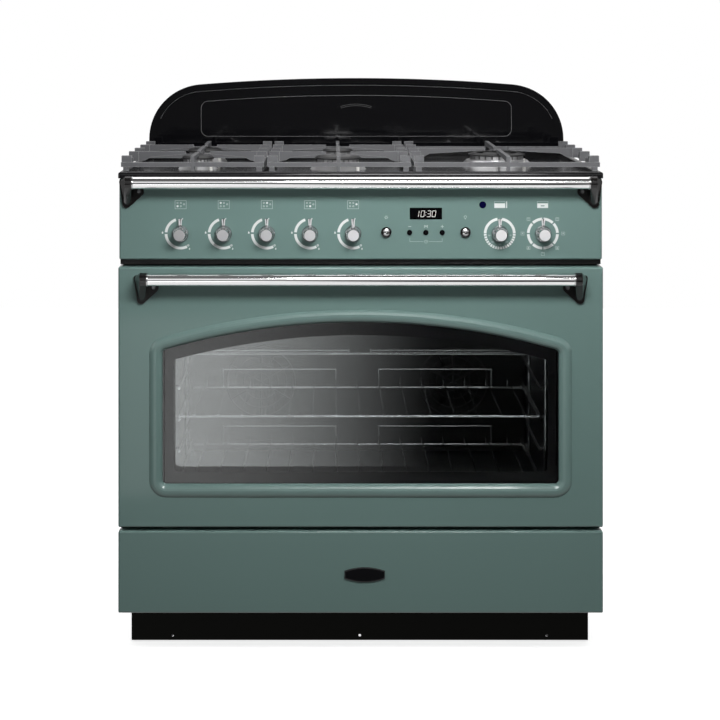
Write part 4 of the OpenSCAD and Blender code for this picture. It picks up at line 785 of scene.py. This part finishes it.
@dataclass
class FasciaPrint:
    """Printed scales, pictograms and clock marks on the fascia.

    Bars, dots and flames in the tables are in millimetres, and angles in degrees.
    """

    lift: float = 0.12 * MM
    ring_out: float = 29.5 * MM
    ring_in: float = 24.5 * MM
    burner_arcs: tuple[tuple[float, float], ...] = ((109, 175), (182, 296))
    start_dot: tuple[float, float] = (27.6, 83)
    start_dot_r: float = 1.3 * MM
    end_ring: tuple[float, float] = (26.2, 303)
    end_ring_in: float = 0.9 * MM
    end_ring_out: float = 1.9 * MM
    flames: tuple[tuple[float, float], ...] = ((178, 2.0), (300, 1.6))
    flame_r: float = 31.5
    pictogram_z: float = 0.844
    plan: tuple[float, float, float] = (21.4 * MM, 15.8 * MM, 0.7 * MM)
    plan_ring: tuple[float, float] = (0.8 * MM, 1.7 * MM)
    plan_mark_r: float = 2.0 * MM
    layout: tuple[tuple[float, float], ...] = ((-5.6, -2.8), (-5.6, 3.3), (0.4, 3.3), (0.4, -2.8), (6.3, 0.8))
    temperature_arcs: tuple[tuple[float, float], ...] = ((1, 81), (99, 179))
    temperature_blocks: int = 18
    temperature_block: tuple[float, float] = (-8.6, -1.4)
    temperature_step: float = 10.0
    numbers: tuple[str, ...] = ("50", "100", "150", "200", "250")
    number_start: float = -10.0
    number_step: float = 40.0
    number_r: float = 20.3 * MM
    number_h: float = 3.6 * MM
    number_t: float = 0.06 * MM
    number_lift: float = 0.1 * MM
    stops: int = 8
    stop_step: float = 45.0
    stop_gap: float = 2.5
    symbol_r: float = 37.7 * MM
    symbol: tuple[float, float, float] = (6.4 * MM, 6.0 * MM, 0.45 * MM)
    symbol_bar: tuple[float, float] = (4.0 * MM, 0.7 * MM)
    symbol_low: float = 1.6 * MM
    symbol_high: float = 1.7 * MM
    symbol_dot: tuple[float, float] = (0.3 * MM, 1.1 * MM)
    icon: tuple[float, float, float] = (20.5 * MM, 12.5 * MM, 0.55 * MM)
    icons: tuple[tuple, ...] = (
        ("temperature", 0.2595, -1.5 * MM, ((-1.5, -1.6, 19.4, 8.2), (11.4, 0, 1.5, 12.5))),
        ("function", 0.3376, 0.0, ((0, 0.6, 19.4, 3.8), (0, -4.4, 19.4, 2.6), (-6.6, -2.2, 6.2, 1.8),
                                   (6.6, -2.2, 6.2, 1.8))))
    button_icon_z: float = 0.8205
    spark_rays: int = 6
    spark_half: float = 13.0
    spark_r: tuple[float, float] = (0.9 * MM, 3.4 * MM)
    lamp_bulb: tuple[float, float, float, float] = (1.9 * MM, 2.6 * MM, -50, 230)
    lamp_middle: float = 0.8 * MM
    lamp_foot: tuple[float, float, float, float] = (0, -2.4, 2.2, 1.6)
    indicator_place: tuple[float, float, float] = (0.2263, FACE_Y - 0.8 * MM, 0.8438)
    indicator_r: tuple[float, float] = (6.1 * MM, 5.6 * MM)
    indicator_t: float = 0.4 * MM
    clock_x: float = 0.1213
    clock_marks_z: float = 0.8035
    clock_marks: tuple[tuple[float, ...], ...] = (
        (-30.2, 0, 5.4, 1.0), (30.2, 0, 5.4, 1.0), (30.2, -1.6, 1.0, 2.2), (-2.6, 0, 1.0, 5.2),
        (-1.1, 0.9, 1.0, 3.4, -0.55), (30.2, 1.6, 1.0, 2.2), (2.6, 0, 1.0, 5.2), (1.1, 0.9, 1.0, 3.4, 0.55))
    clock_line_z: float = 0.7755
    clock_lines: tuple[tuple[float, ...], ...] = (
        (-17.5, 0, 25, 0.5), (-30, 3, 0.5, 6), (17.5, 0, 25, 0.5), (30, 3, 0.5, 6), (0, 0.9, 0.5, 1.8),
        (0.7, 0, 1.4, 0.5))
    clock_ring: tuple[float, float] = (2.6 * MM, 3.1 * MM)

    def build(self) -> None:
        """Prints every mark of the fascia."""
        for i, x in enumerate(BURNER_KNOBS):
            self._burner_scale(i + 1, x)
            self._hob_pictogram(i, x)
        self._temperature_scale()
        self._function_scale()
        self._oven_icons()
        self._button_icons()
        self._indicator_face()
        self._clock_marks()

    def _print(self, bm: bmesh.types.BMesh, name: str, x: float, z: float, look: Finish = Finishes.print_white) -> None:
        """Lays a flat drawing on the fascia.

        Args:
            bm: The drawing.
            name: Name of the piece.
            x: Where its origin goes across.
            z: Where its origin goes in height.
            look: Its finish.
        """
        thicken(bm, self.lift)
        bmesh.ops.transform(bm, matrix=to_front(x, FACE_Y, z), verts=bm.verts)
        finish_piece(bm, name, look, ROOT)

    def _bars(self, bm: bmesh.types.BMesh, rows: Iterable[tuple[float, ...]]) -> None:
        """Adds the bars of a table.

        Args:
            bm: Mesh that gets the bars.
            rows: For each bar its x, y, width and height in millimetres, and its slant where it leans.
        """
        for x, y, width, height, *slant in rows:
            add_bar(bm, x * MM, y * MM, width * MM, height * MM, *slant)

    def _polar(self, radius: float, angle: float) -> tuple[float, float]:
        """Returns the point at a radius in millimetres and an angle in degrees."""
        turn = math.radians(angle)
        return radius * MM * math.cos(turn), radius * MM * math.sin(turn)

    def _burner_scale(self, number: int, x: float) -> None:
        """Prints the white flame scale round one burner knob.

        Args:
            number: Number of the knob, from 1 at the left.
            x: The knob's axis.
        """
        bm = bmesh.new()
        for start, end in self.burner_arcs:
            add_arc_band(bm, ORIGIN, self.ring_in, self.ring_out, start, end)
        add_disc(bm, *self._polar(*self.start_dot), self.start_dot_r, 10)
        add_arc_band(bm, Vector((*self._polar(*self.end_ring), 0)), self.end_ring_in, self.end_ring_out, *WHOLE_TURN)
        for angle, size in self.flames:
            self._flame(bm, *self._polar(self.flame_r + size, angle), size * MM)
        self._print(bm, f"burner_scale_{number}", x, KNOB_Z)

    def _flame(self, bm: bmesh.types.BMesh, x: float, y: float, size: float) -> None:
        """Adds a small flame: a drop with its tip up.

        Args:
            bm: Mesh that gets the flame.
            x: Its centre across.
            y: Its centre in height.
            size: Its size, which its radius and its tip follow.
        """
        made = bmesh.ops.create_circle(bm, cap_ends=True, segments=9, radius=size * 0.8,
                                       matrix=Matrix.Translation((x, y, 0)) @ Matrix.Rotation(math.pi / 2, 4, "Z"))
        top = max(made["verts"], key=lambda v: v.co.y)
        bmesh.ops.translate(bm, verts=[top], vec=(0, size * 0.9, 0))

    def _hob_pictogram(self, index: int, x: float) -> None:
        """Prints the small hob plan above one burner knob, with its burner filled in.

        Args:
            index: Place of the burner in the plan.
            x: The knob's axis.
        """
        bm = bmesh.new()
        add_box_outline(bm, 0, 0, *self.plan)
        for i, (dx, dy) in enumerate(self.layout):
            if i != index:
                add_arc_band(bm, Vector((dx * MM, dy * MM, 0)), *self.plan_ring, *WHOLE_TURN)
        self._print(bm, f"hob_pictogram_{index + 1}", x, self.pictogram_z, Finishes.print_soft)
        bm = bmesh.new()
        add_disc(bm, *(side * MM for side in self.layout[index]), self.plan_mark_r, 16)
        self._print(bm, f"hob_pictogram_mark_{index + 1}", x, self.pictogram_z)

    def _temperature_scale(self) -> None:
        """Prints the temperature ring with its blocks and numbers."""
        bm = bmesh.new()
        for start, end in self.temperature_arcs:
            add_arc_band(bm, ORIGIN, self.ring_in, self.ring_out, start, end)
        for k in range(self.temperature_blocks):
            start, end = (side - k * self.temperature_step for side in self.temperature_block)
            add_arc_band(bm, ORIGIN, self.ring_in, self.ring_out, start, end)
        self._print(bm, "temperature_scale", TEMPERATURE_X, KNOB_Z)
        for k, value in enumerate(self.numbers):
            angle = math.radians(self.number_start - k * self.number_step)
            self._number(value, TEMPERATURE_X + self.number_r * math.cos(angle),
                         KNOB_Z + self.number_r * math.sin(angle))

    def _number(self, value: str, x: float, z: float) -> None:
        """Prints one number of the temperature dial.

        Args:
            value: The number.
            x: Its centre across.
            z: Its centre in height.
        """
        name = f"temperature_number_{value}"
        curve = bpy.data.curves.new(name, "FONT")
        curve.body = value
        curve.size = self.number_h
        curve.align_x = "CENTER"
        curve.align_y = "CENTER"
        curve.extrude = self.number_t
        maker = bpy.data.objects.new(name + "_maker", curve)
        bpy.context.scene.collection.objects.link(maker)
        mesh = bpy.data.meshes.new_from_object(maker)
        bpy.data.objects.remove(maker)
        bm = bmesh.new()
        bm.from_mesh(mesh)
        bpy.data.meshes.remove(mesh)
        bmesh.ops.transform(bm, matrix=to_front(x, FACE_Y - self.number_lift, z), verts=bm.verts)
        finish_piece(bm, name, Finishes.print_soft, ROOT)

    def _function_scale(self) -> None:
        """Prints the oven function ring and the small symbol at each stop."""
        bm = bmesh.new()
        for k in range(self.stops):
            start, end = (90 + (k + side) * self.stop_step for side in (0, 1))
            add_arc_band(bm, ORIGIN, self.ring_in, self.ring_out, start + self.stop_gap, end - self.stop_gap)
        self._print(bm, "function_scale", FUNCTION_X, KNOB_Z)
        bm = bmesh.new()
        for k in range(1, self.stops):
            angle = math.radians(90 - k * self.stop_step)
            px, py = self.symbol_r * math.cos(angle), self.symbol_r * math.sin(angle)
            add_box_outline(bm, px, py, *self.symbol)
            if k % 2:
                add_bar(bm, px, py - self.symbol_low, *self.symbol_bar)
            if k in (2, 3, 5, 6):
                add_disc(bm, px, py + self.symbol_dot[0], self.symbol_dot[1], 10)
            if k in (1, 4, 7):
                add_bar(bm, px, py + self.symbol_high, *self.symbol_bar)
        self._print(bm, "function_symbols", FUNCTION_X, KNOB_Z, Finishes.print_soft)

    def _oven_icons(self) -> None:
        """Prints an outlined icon above each oven knob."""
        for word, x, middle, bars in self.icons:
            bm = bmesh.new()
            add_box_outline(bm, middle, 0, *self.icon)
            self._print(bm, f"{word}_icon_outline", x, self.pictogram_z, Finishes.print_soft)
            bm = bmesh.new()
            self._bars(bm, bars)
            self._print(bm, f"{word}_icon", x, self.pictogram_z)

    def _button_icons(self) -> None:
        """Prints a spark by the ignition button and a lamp by the light button."""
        bm = bmesh.new()
        for k in range(self.spark_rays):
            middle = k * 360 / self.spark_rays
            add_arc_band(bm, ORIGIN, *self.spark_r, middle - self.spark_half, middle + self.spark_half)
        self._print(bm, "spark_icon", IGNITION_X, self.button_icon_z, Finishes.print_soft)
        bm = bmesh.new()
        add_arc_band(bm, Vector((0, self.lamp_middle, 0)), *self.lamp_bulb)
        self._bars(bm, (self.lamp_foot,))
        self._print(bm, "lamp_icon", LIGHT_X, self.button_icon_z, Finishes.print_soft)

    def _indicator_face(self) -> None:
        """Sets the navy face on the oven indicator."""
        bm = bmesh.new()
        bmesh.ops.create_cone(bm, cap_ends=True, segments=32, radius1=self.indicator_r[0],
                              radius2=self.indicator_r[1], depth=self.indicator_t,
                              matrix=Matrix.Translation((0, 0, self.indicator_t / 2)))
        bmesh.ops.transform(bm, matrix=to_front(*self.indicator_place), verts=bm.verts)
        finish_piece(bm, "oven_indicator_face", Finishes.navy_lens, ROOT)

    def _clock_marks(self) -> None:
        """Prints the marks of the clock buttons and the line that joins them."""
        bm = bmesh.new()
        self._bars(bm, self.clock_marks)
        self._print(bm, "clock_button_marks", self.clock_x, self.clock_marks_z, Finishes.print_soft)
        bm = bmesh.new()
        self._bars(bm, self.clock_lines)
        add_arc_band(bm, ORIGIN, *self.clock_ring, *WHOLE_TURN)
        self._print(bm, "clock_bracket_line", self.clock_x, self.clock_line_z, Finishes.print_soft)


@dataclass
class ClockDisplay:
    """Glowing digits, laid over the dark clock window."""

    digit_h: float = 11.0 * MM
    digit_w: float = 6.0 * MM
    stroke: float = 0.72 * MM
    slant: float = 0.16
    side_bar: float = 0.42
    middle_bar: float = 0.8
    digit_t: float = 0.1 * MM
    colon: tuple[float, ...] = (-2.4, 2.4)
    colon_x: float = -0.6
    dot: float = 1.1 * MM
    place: tuple[float, float, float] = (0.1215, FACE_Y - 0.5 * MM, 0.8272)
    places: tuple[tuple[str, float], ...] = (("1", -16.6), ("0", -6.4), ("3", 5.2), ("0", 14.4))
    lit: dict[str, str] = field(default_factory=lambda: {"1": "bc", "0": "abcdef", "3": "abcdg"})

    def build(self) -> None:
        """Lights the four digits and the colon."""
        bm = bmesh.new()
        for digit, x in self.places:
            self._digit(bm, self.lit[digit], x * MM)
        for y in self.colon:
            add_bar(bm, (self.colon_x + y * self.slant) * MM, y * MM, self.dot, self.dot)
        thicken(bm, self.digit_t)
        bmesh.ops.transform(bm, matrix=to_front(*self.place), verts=bm.verts)
        finish_piece(bm, "clock_digits", Finishes.digits, ROOT)

    def _digit(self, bm: bmesh.types.BMesh, segments: str, x: float) -> None:
        """Adds the lit segments of one digit.

        Args:
            bm: Mesh that gets the bars.
            segments: The lit ones, lettered a to g from the top, clockwise.
            x: Centre of the digit.
        """
        w, h, s = self.digit_w, self.digit_h, self.stroke
        tall = h * self.side_bar
        bars = {
            "a": (0, h / 2, w, s), "d": (0, -h / 2, w, s), "g": (0, 0, w * self.middle_bar, s),
            "b": (w / 2, h / 4, s, tall), "c": (w / 2, -h / 4, s, tall),
            "f": (-w / 2, h / 4, s, tall), "e": (-w / 2, -h / 4, s, tall),
        }
        for letter in segments:
            px, py, width, height = bars[letter]
            add_bar(bm, x + px + py * self.slant, py, width, height, self.slant)


@dataclass
class KnobTrim:
    """Round caps on the ends of the knobs and painted highlight strips along their pointers."""

    cap_r: float = 10.2 * MM
    cap_t: float = 0.5 * MM
    cap_chamfer: float = 0.4 * MM
    # painted light: one satin finish, lighter from the left knob to the right one as the light falls across the fascia
    cap_light_falloff_tones: tuple[float, ...] = (0.5, 0.6, 0.66, 0.74, 0.85)
    pointer_front: float = 7.2 * MM
    strip: tuple[float, float] = (2.3 * MM, 11.6 * MM)
    strip_x: float = 1.75 * MM
    strip_r: float = 21.7 * MM
    strip_lean: float = 0.06
    strip_t: float = 0.3 * MM

    def build(self) -> None:
        """Caps all seven knobs, the burner caps painted lighter towards the right as the light falls, and lines their
        pointers with painted highlights.
        """
        knobs = []
        # each burner cap gets a lit copy of the satin finish: painted light
        for i, (x, lit_tone) in enumerate(zip(BURNER_KNOBS, self.cap_light_falloff_tones)):
            look = replace(Finishes.cap_grey, name=f"burner_knob_{i + 1}_cap_satin", color=(lit_tone, lit_tone, lit_tone * 1.02))
            knobs.append((f"burner_knob_{i + 1}", x, look))
        knobs.append(("temperature_knob", TEMPERATURE_X, Finishes.cap_white))
        knobs.append(("function_knob", FUNCTION_X, Finishes.cap_white))
        for node, x, look in knobs:
            self._cap(node, x, look)
            self._pointer_highlight_strips(node, x)

    def _pointer_highlight_strips(self, node: str, x: float) -> None:
        """Lays two light strips along one pointer, painted highlights on its two faces, with its dark line left between
        them.

        Args:
            node: The knob.
            x: The knob's axis.
        """
        bm = bmesh.new()
        for side in (-1, 1):
            add_bar(bm, side * self.strip_x, self.strip_r, *self.strip, side * self.strip_lean)
        thicken(bm, self.strip_t)
        bmesh.ops.transform(bm, matrix=to_front(x, FACE_Y - self.pointer_front, KNOB_Z), verts=bm.verts)
        finish_piece(bm, node + "_pointer_highlight_strips", Finishes.pointer, node)

    def _cap(self, node: str, x: float, look: Finish) -> None:
        """Sets a disc with a chamfered rim into one knob's end.

        Args:
            node: The knob.
            x: The knob's axis.
            look: The disc's finish.
        """
        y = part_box(node)[0][1]
        bm = bmesh.new()
        bmesh.ops.create_cone(bm, cap_ends=True, segments=48, radius1=self.cap_r,
                              radius2=self.cap_r - self.cap_chamfer, depth=self.cap_t,
                              matrix=Matrix.Translation((0, 0, self.cap_t / 2)))
        bmesh.ops.transform(bm, matrix=to_front(x, y, KNOB_Z), verts=bm.verts)
        finish_piece(bm, node + "_cap", look, node)


@dataclass
class DoorWindow:
    """Printed border behind the outer glass."""

    outer: tuple[float, ...] = (0.3705, 0.323, 0.6275, 1.33, 10.5 * MM)
    clear: tuple[float, ...] = (0.348, 0.3463, 0.6009, 1.33, 9.0 * MM)
    back_y: float = -0.26695
    lift: float = 0.3 * MM
    print_t: float = 0.25 * MM

    def build(self) -> None:
        """Makes the dark ring that frames the clear glass."""
        bm = bmesh.new()
        edges = [e for shape in (self.outer, self.clear) for e in outline_edges(bm, arched_arcs(*shape))]
        bmesh.ops.bridge_loops(bm, edges=edges)
        thicken(bm, self.print_t)
        bmesh.ops.transform(bm, matrix=to_front(0, self.back_y + self.lift, 0), verts=bm.verts)
        finish_piece(bm, "window_printed_border", Finishes.frit, "door")


@dataclass
class BarePlates:
    """The bare oval plate on the drawer and the bare arched plate on the splashback."""

    oval: tuple[float, float, float] = (37.6 * MM, 13.6 * MM, 7.0 * MM)
    oval_place: tuple[float, float, float] = (0.0075, FACE_Y, 0.158)
    oval_t: float = 2.6 * MM
    face_inset: float = 1.6 * MM
    face_rise: float = 0.5 * MM
    arched: tuple[float, float, float, float] = (41.0 * MM, -30.0 * MM, 30.0 * MM, 6.0 * MM)
    arched_place: tuple[float, float] = (-0.0005, 0.981)
    arch_r: float = 115.0 * MM
    arched_t: float = 2.0 * MM
    line_gaps: tuple[float, ...] = (2.2 * MM, 5.6 * MM)
    line_w: float = 1.3 * MM
    line_t: float = 0.5 * MM
    line_round: float = 0.15 * MM

    def build(self) -> None:
        """Makes both plates."""
        self._oval_plate()
        self._arched_plate()

    def _oval_plate(self) -> None:
        """Makes the lens-shaped plate with short upright ends, its face raised inside a fine rim."""
        for part, grow, depth, look in (("rim", 0.0, self.oval_t, Finishes.cap_black),
                                        ("face", -self.face_inset, self.oval_t + self.face_rise, Finishes.button)):
            w, h, end_h = (side + grow for side in self.oval)
            rise = h - end_h
            radius = (w * w + rise * rise) / (2 * rise)
            swing = math.degrees(math.asin(w / radius))
            bm = bmesh.new()
            outline_face(bm, ((0, h - radius, radius, 90 - swing, 90 + swing, 24),
                              (0, radius - h, radius, 270 - swing, 270 + swing, 24)))
            self._finish(bm, depth, self.oval_place, "drawer", f"drawer_plate_{part}", look, "button_black")

    def _arched_plate(self) -> None:
        """Makes the splashback's plate and the two bright chrome arched lines along its top, which paint the highlight
        lines of its arch.
        """
        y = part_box("splashback")[0][1] + SPLASH_FIELD_DEPTH
        place = (self.arched_place[0], y, self.arched_place[1])
        bm = bmesh.new()
        half_w, low, high, corner = self.arched
        outline_face(bm, arched_arcs(half_w, low, high, self.arch_r, corner))
        self._finish(bm, self.arched_t, place, ROOT, "splashback_plate", Finishes.splash_black, "button_black")
        # chrome lines that stand in for the highlights along the plate's arched top: painted highlight
        bm = bmesh.new()
        swing = math.degrees(math.asin((half_w - corner) / self.arch_r))
        center = Vector((0, high - self.arch_r, 0))
        for gap in self.line_gaps:
            outer = self.arch_r - gap
            add_arc_band(bm, center, outer - self.line_w, outer, 90 - swing, 90 + swing)
        bmesh.ops.translate(bm, verts=bm.verts, vec=(0, 0, self.arched_t))
        self._finish(bm, self.line_t, place, ROOT, "splashback_plate_highlight_line", Finishes.chrome, "knob_chrome",
                     self.line_round)

    def _finish(self, bm: bmesh.types.BMesh, depth: float, place: tuple, body: str, name: str, look: Finish,
                slot: str, round_over: float = 0.5 * MM) -> None:
        """Thickens a plate, rounds its front edge and fixes it on its body.

        Args:
            bm: The flat drawing.
            depth: Thickness.
            place: Centre of its back.
            body: The body that carries it.
            name: Name of the piece.
            look: Its finish.
            slot: Not used.
            round_over: Radius of the front edge.
        """
        base = max(v.co.z for v in bm.verts)
        thicken(bm, depth)
        top = base + depth * 0.9
        soften(bm, [e for e in bm.edges if all(v.co.z > top for v in e.verts)], round_over)
        bmesh.ops.transform(bm, matrix=to_front(*place), verts=bm.verts)
        finish_piece(bm, name, look, body)


@dataclass
class SplashLines:
    """Fine light ribs that edge the splashback's rolled band and its pressed panel, painting the highlight lines along
    those edges.
    """

    top: float = 1.064
    half_w: float = 0.45
    shoulder_r: float = 0.118
    drop: float = 0.013
    band: float = 0.014
    rib_w: float = 1.7 * MM
    rib_t: float = 1.3 * MM
    groove: float = 1.2 * MM
    weld: float = 0.02 * MM
    round_share: float = 0.3
    # the band rib ends where its painted highlight fades down the shoulders
    band_highlight_ends: tuple[float, float] = (25, 155)
    panel: tuple[float, float, float, float] = (0.3378, 0.9372, 1.0278, 0.0158)
    panel_arch_r: float = 4.1335

    def build(self) -> None:
        """Lays both ribs on the splashback's field."""
        field_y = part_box("splashback")[0][1] + SPLASH_FIELD_DEPTH
        middle = self.half_w - self.shoulder_r
        arch_r = (middle ** 2 + self.drop ** 2) / (2 * self.drop)
        reach = arch_r - self.shoulder_r
        swing = math.degrees(math.asin(middle / reach))
        arch_z = self.top - arch_r
        shoulder_z = arch_z + math.sqrt(reach ** 2 - middle ** 2)
        bm = bmesh.new()
        inner, outer = self.band + self.rib_w, self.band
        for x, z, radius, start, end in ((middle, shoulder_z, self.shoulder_r, self.band_highlight_ends[0], 90 - swing),
                                         (0.0, arch_z, arch_r, 90 - swing, 90),
                                         (0.0, arch_z, arch_r, 90, 90 + swing),
                                         (-middle, shoulder_z, self.shoulder_r, 90 + swing, self.band_highlight_ends[1])):
            add_arc_band(bm, Vector((x, z, 0)), radius - inner, radius - outer, start, end)
        bmesh.ops.remove_doubles(bm, verts=bm.verts, dist=self.weld)
        self._lay(bm, "splashback_band_highlight_rib", field_y, self.rib_t)
        bm = bmesh.new()
        half_w, low, high, corner = self.panel
        edges = [e for g in (0.0, self.rib_w) for e in outline_edges(
            bm, arched_arcs(half_w - g, low + g, high - g, self.panel_arch_r - g, corner - g))]
        bmesh.ops.bridge_loops(bm, edges=edges)
        self._lay(bm, "splashback_panel_highlight_rib", field_y + self.groove, self.rib_t + self.groove / 2)

    def _lay(self, bm: bmesh.types.BMesh, name: str, y: float, depth: float) -> None:
        """Raises a flat rib, rounds its face and fixes it to the body.

        Args:
            bm: The flat rib.
            name: Name of the piece.
            y: Depth of its seat.
            depth: Its height over the seat.
        """
        thicken(bm, depth)
        soften(bm, [e for e in bm.edges if all(v.co.z > depth / 2 for v in e.verts) and len(e.link_faces) == 2
                    and abs(e.link_faces[0].normal.z - e.link_faces[1].normal.z) > 0.5], self.rib_w * self.round_share)
        bmesh.ops.transform(bm, matrix=to_front(0, y, 0), verts=bm.verts)
        finish_piece(bm, name, Finishes.splash_highlight_edge, ROOT)


@dataclass
class RailFittings:
    """Screws in the rail brackets and the bright collars at the tube ends, whose outline is in millimetres."""

    tube_r: float = 11.2 * MM
    rail_y: float = -0.3113
    screw_r: float = 4.2 * MM
    screw_h: float = 2.2 * MM
    socket: float = 1.2 * MM
    seat: float = 2.5 * MM
    screw_in: float = 37.0 * MM
    screw_down: float = 19.0 * MM
    collar_in: float = 28.5 * MM
    collar: tuple[tuple[float, float], ...] = ((-1.4, 0.05), (-1.0, 1.0), (1.0, 1.0), (1.4, 0.05))
    rails: tuple[tuple, ...] = (("handrail", ROOT, 0.4475, 0.8874), ("door_handle", "door", 0.4205, 0.7095))

    def build(self) -> None:
        """Fits the handrail and the door handle."""
        for label, body, out, z in self.rails:
            for side, word in ((-1, "left"), (1, "right")):
                self._screw(f"{label}_screw_{word}", body, side * (out - self.screw_in), z - self.screw_down)
                self._collar(f"{label}_collar_{word}", body, side * (out - self.collar_in), z)

    def _screw(self, name: str, body: str, x: float, z: float) -> None:
        """Sets one round-headed socket screw into a bracket's foot.

        Args:
            name: Name of the piece.
            body: The body that carries it.
            x: Its centre across.
            z: Its centre in height.
        """
        bm = bmesh.new()
        bmesh.ops.create_cone(bm, cap_ends=True, segments=24, radius1=self.screw_r, radius2=self.screw_r * 0.7,
                              depth=self.screw_h, matrix=Matrix.Translation((0, 0, self.screw_h / 2)))
        top = [f for f in bm.faces if f.calc_center_median().z > self.screw_h * 0.9]
        bmesh.ops.inset_region(bm, faces=top, thickness=self.socket)
        bmesh.ops.translate(bm, verts=[v for f in top for v in f.verts], vec=(0, 0, -self.socket))
        bmesh.ops.transform(bm, matrix=to_front(x, FACE_Y - self.seat, z), verts=bm.verts)
        finish_piece(bm, name, Finishes.screw, body)

    def _collar(self, name: str, body: str, x: float, z: float) -> None:
        """Turns one thin bright collar round the tube, next to its bracket.

        Args:
            name: Name of the piece.
            body: The body that carries it.
            x: Its middle along the tube.
            z: Height of the tube's axis.
        """
        bm = bmesh.new()
        profile = [bm.verts.new((along * MM, self.tube_r + out * MM, 0)) for along, out in self.collar]
        edges = [bm.edges.new((profile[i], profile[(i + 1) % 4])) for i in range(4)]
        bmesh.ops.spin(bm, geom=[*profile, *edges], cent=(0, 0, 0), axis=(1, 0, 0), angle=2 * math.pi, steps=48,
                       use_merge=True)
        bmesh.ops.translate(bm, verts=bm.verts, vec=(x, self.rail_y, z))
        finish_piece(bm, name, Finishes.chrome, body, smooth=True)


@dataclass
class OvenGuards:
    """Wire guards in front of the two fans."""

    fan_x: float = 0.203
    fan_z: float = 0.425
    wire_r: float = 1.2 * MM
    rings: tuple[float, ...] = (18 * MM, 36 * MM, 54 * MM, 71.5 * MM)
    off_liner: float = 0.9 * MM
    spoke_angles: tuple[float, ...] = (30, 90, 150)

    def build(self) -> None:
        """Bends the rings and spokes of both guards."""
        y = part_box("oven_back_liner")[0][1] - self.off_liner
        for side, word in ((-1, "left"), (1, "right")):
            bm = bmesh.new()
            for radius in self.rings:
                self._ring(bm, radius)
            for angle in self.spoke_angles:
                turn = Matrix.Rotation(math.radians(angle), 4, "Z") @ Matrix.Rotation(math.pi / 2, 4, "Y")
                bmesh.ops.create_cone(bm, cap_ends=True, segments=8, radius1=self.wire_r, radius2=self.wire_r,
                                      depth=2 * self.rings[-1], matrix=turn)
            bmesh.ops.transform(bm, matrix=to_front(side * self.fan_x, y, self.fan_z), verts=bm.verts)
            finish_piece(bm, f"fan_guard_{word}", Finishes.fan_dark, ROOT, smooth=True)

    def _ring(self, bm: bmesh.types.BMesh, radius: float) -> None:
        """Adds one closed wire ring round the drawing's origin.

        Args:
            bm: Mesh that gets the ring.
            radius: Radius of the ring.
        """
        made = bmesh.ops.create_circle(bm, cap_ends=False, segments=8, radius=self.wire_r,
                                       matrix=Matrix.Translation((radius, 0, 0)) @ Matrix.Rotation(math.pi / 2, 4, "X"))
        edges = {e for v in made["verts"] for e in v.link_edges}
        bmesh.ops.spin(bm, geom=[*made["verts"], *edges], cent=(0, 0, 0), axis=(0, 0, 1), angle=2 * math.pi, steps=40,
                       use_merge=True)


@dataclass
class PanelScrews:
    """Screws with conical heads that hold the side panels and the door's inner pan."""

    head_r: float = 4.0 * MM
    head_t: float = 1.8 * MM
    top_share: float = 0.6
    rim_share: float = 0.25
    recess_share: float = 0.5
    side_x: float = 0.447
    side_places: tuple[tuple[float, float], ...] = ((-0.195, 0.86), (0.29, 0.86), (-0.12, 0.105), (0.29, 0.105))
    door_places: tuple[tuple[float, float], ...] = ((-0.425, 0.30), (-0.425, 0.49), (-0.425, 0.70),
                                                   (0.425, 0.30), (0.425, 0.49), (0.425, 0.70))

    def build(self) -> None:
        """Sets all screws."""
        for side, word in ((-1, "left"), (1, "right")):
            turn = Matrix.Rotation(side * math.pi / 2, 4, "Y")
            for i, (y, z) in enumerate(self.side_places):
                self._head(f"side_screw_{word}_{i + 1}", ROOT, Matrix.Translation((side * self.side_x, y, z)) @ turn)
        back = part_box("door_inner_frame")[1][1]
        for i, (x, z) in enumerate(self.door_places):
            place = Matrix.Translation((x, back, z)) @ Matrix.Rotation(-math.pi / 2, 4, "X")
            self._head(f"door_pan_screw_{i + 1}", "door", place)

    def _head(self, name: str, body: str, place: Matrix) -> None:
        """Makes one conical head with a round recess and sets it on a face.

        Args:
            name: Name of the piece.
            body: The body that carries it.
            place: Placement of its seat.
        """
        bm = bmesh.new()
        bmesh.ops.create_cone(bm, cap_ends=True, segments=20, radius1=self.head_r,
                              radius2=self.head_r * self.top_share, depth=self.head_t,
                              matrix=Matrix.Translation((0, 0, self.head_t / 2)))
        top = [f for f in bm.faces if f.calc_center_median().z > self.head_t * 0.9]
        bmesh.ops.inset_region(bm, faces=top, thickness=self.head_r * self.rim_share)
        bmesh.ops.translate(bm, verts=[v for f in top for v in f.verts], vec=(0, 0, -self.head_t * self.recess_share))
        bmesh.ops.transform(bm, matrix=place, verts=bm.verts)
        finish_piece(bm, name, Finishes.screw, body)


def main() -> None:
    """Builds the whole scene in order."""
    logging.basicConfig(level=logging.INFO, format="%(name)s: %(message)s")
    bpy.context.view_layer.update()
    Studio().build()
    dress_frame()
    for assembly in (FasciaPrint(), ClockDisplay(), KnobTrim(), DoorWindow(), BarePlates(), SplashLines(),
                     RailFittings(), OvenGuards(), PanelScrews()):
        assembly.build()


if __name__ == "__main__":
    main()
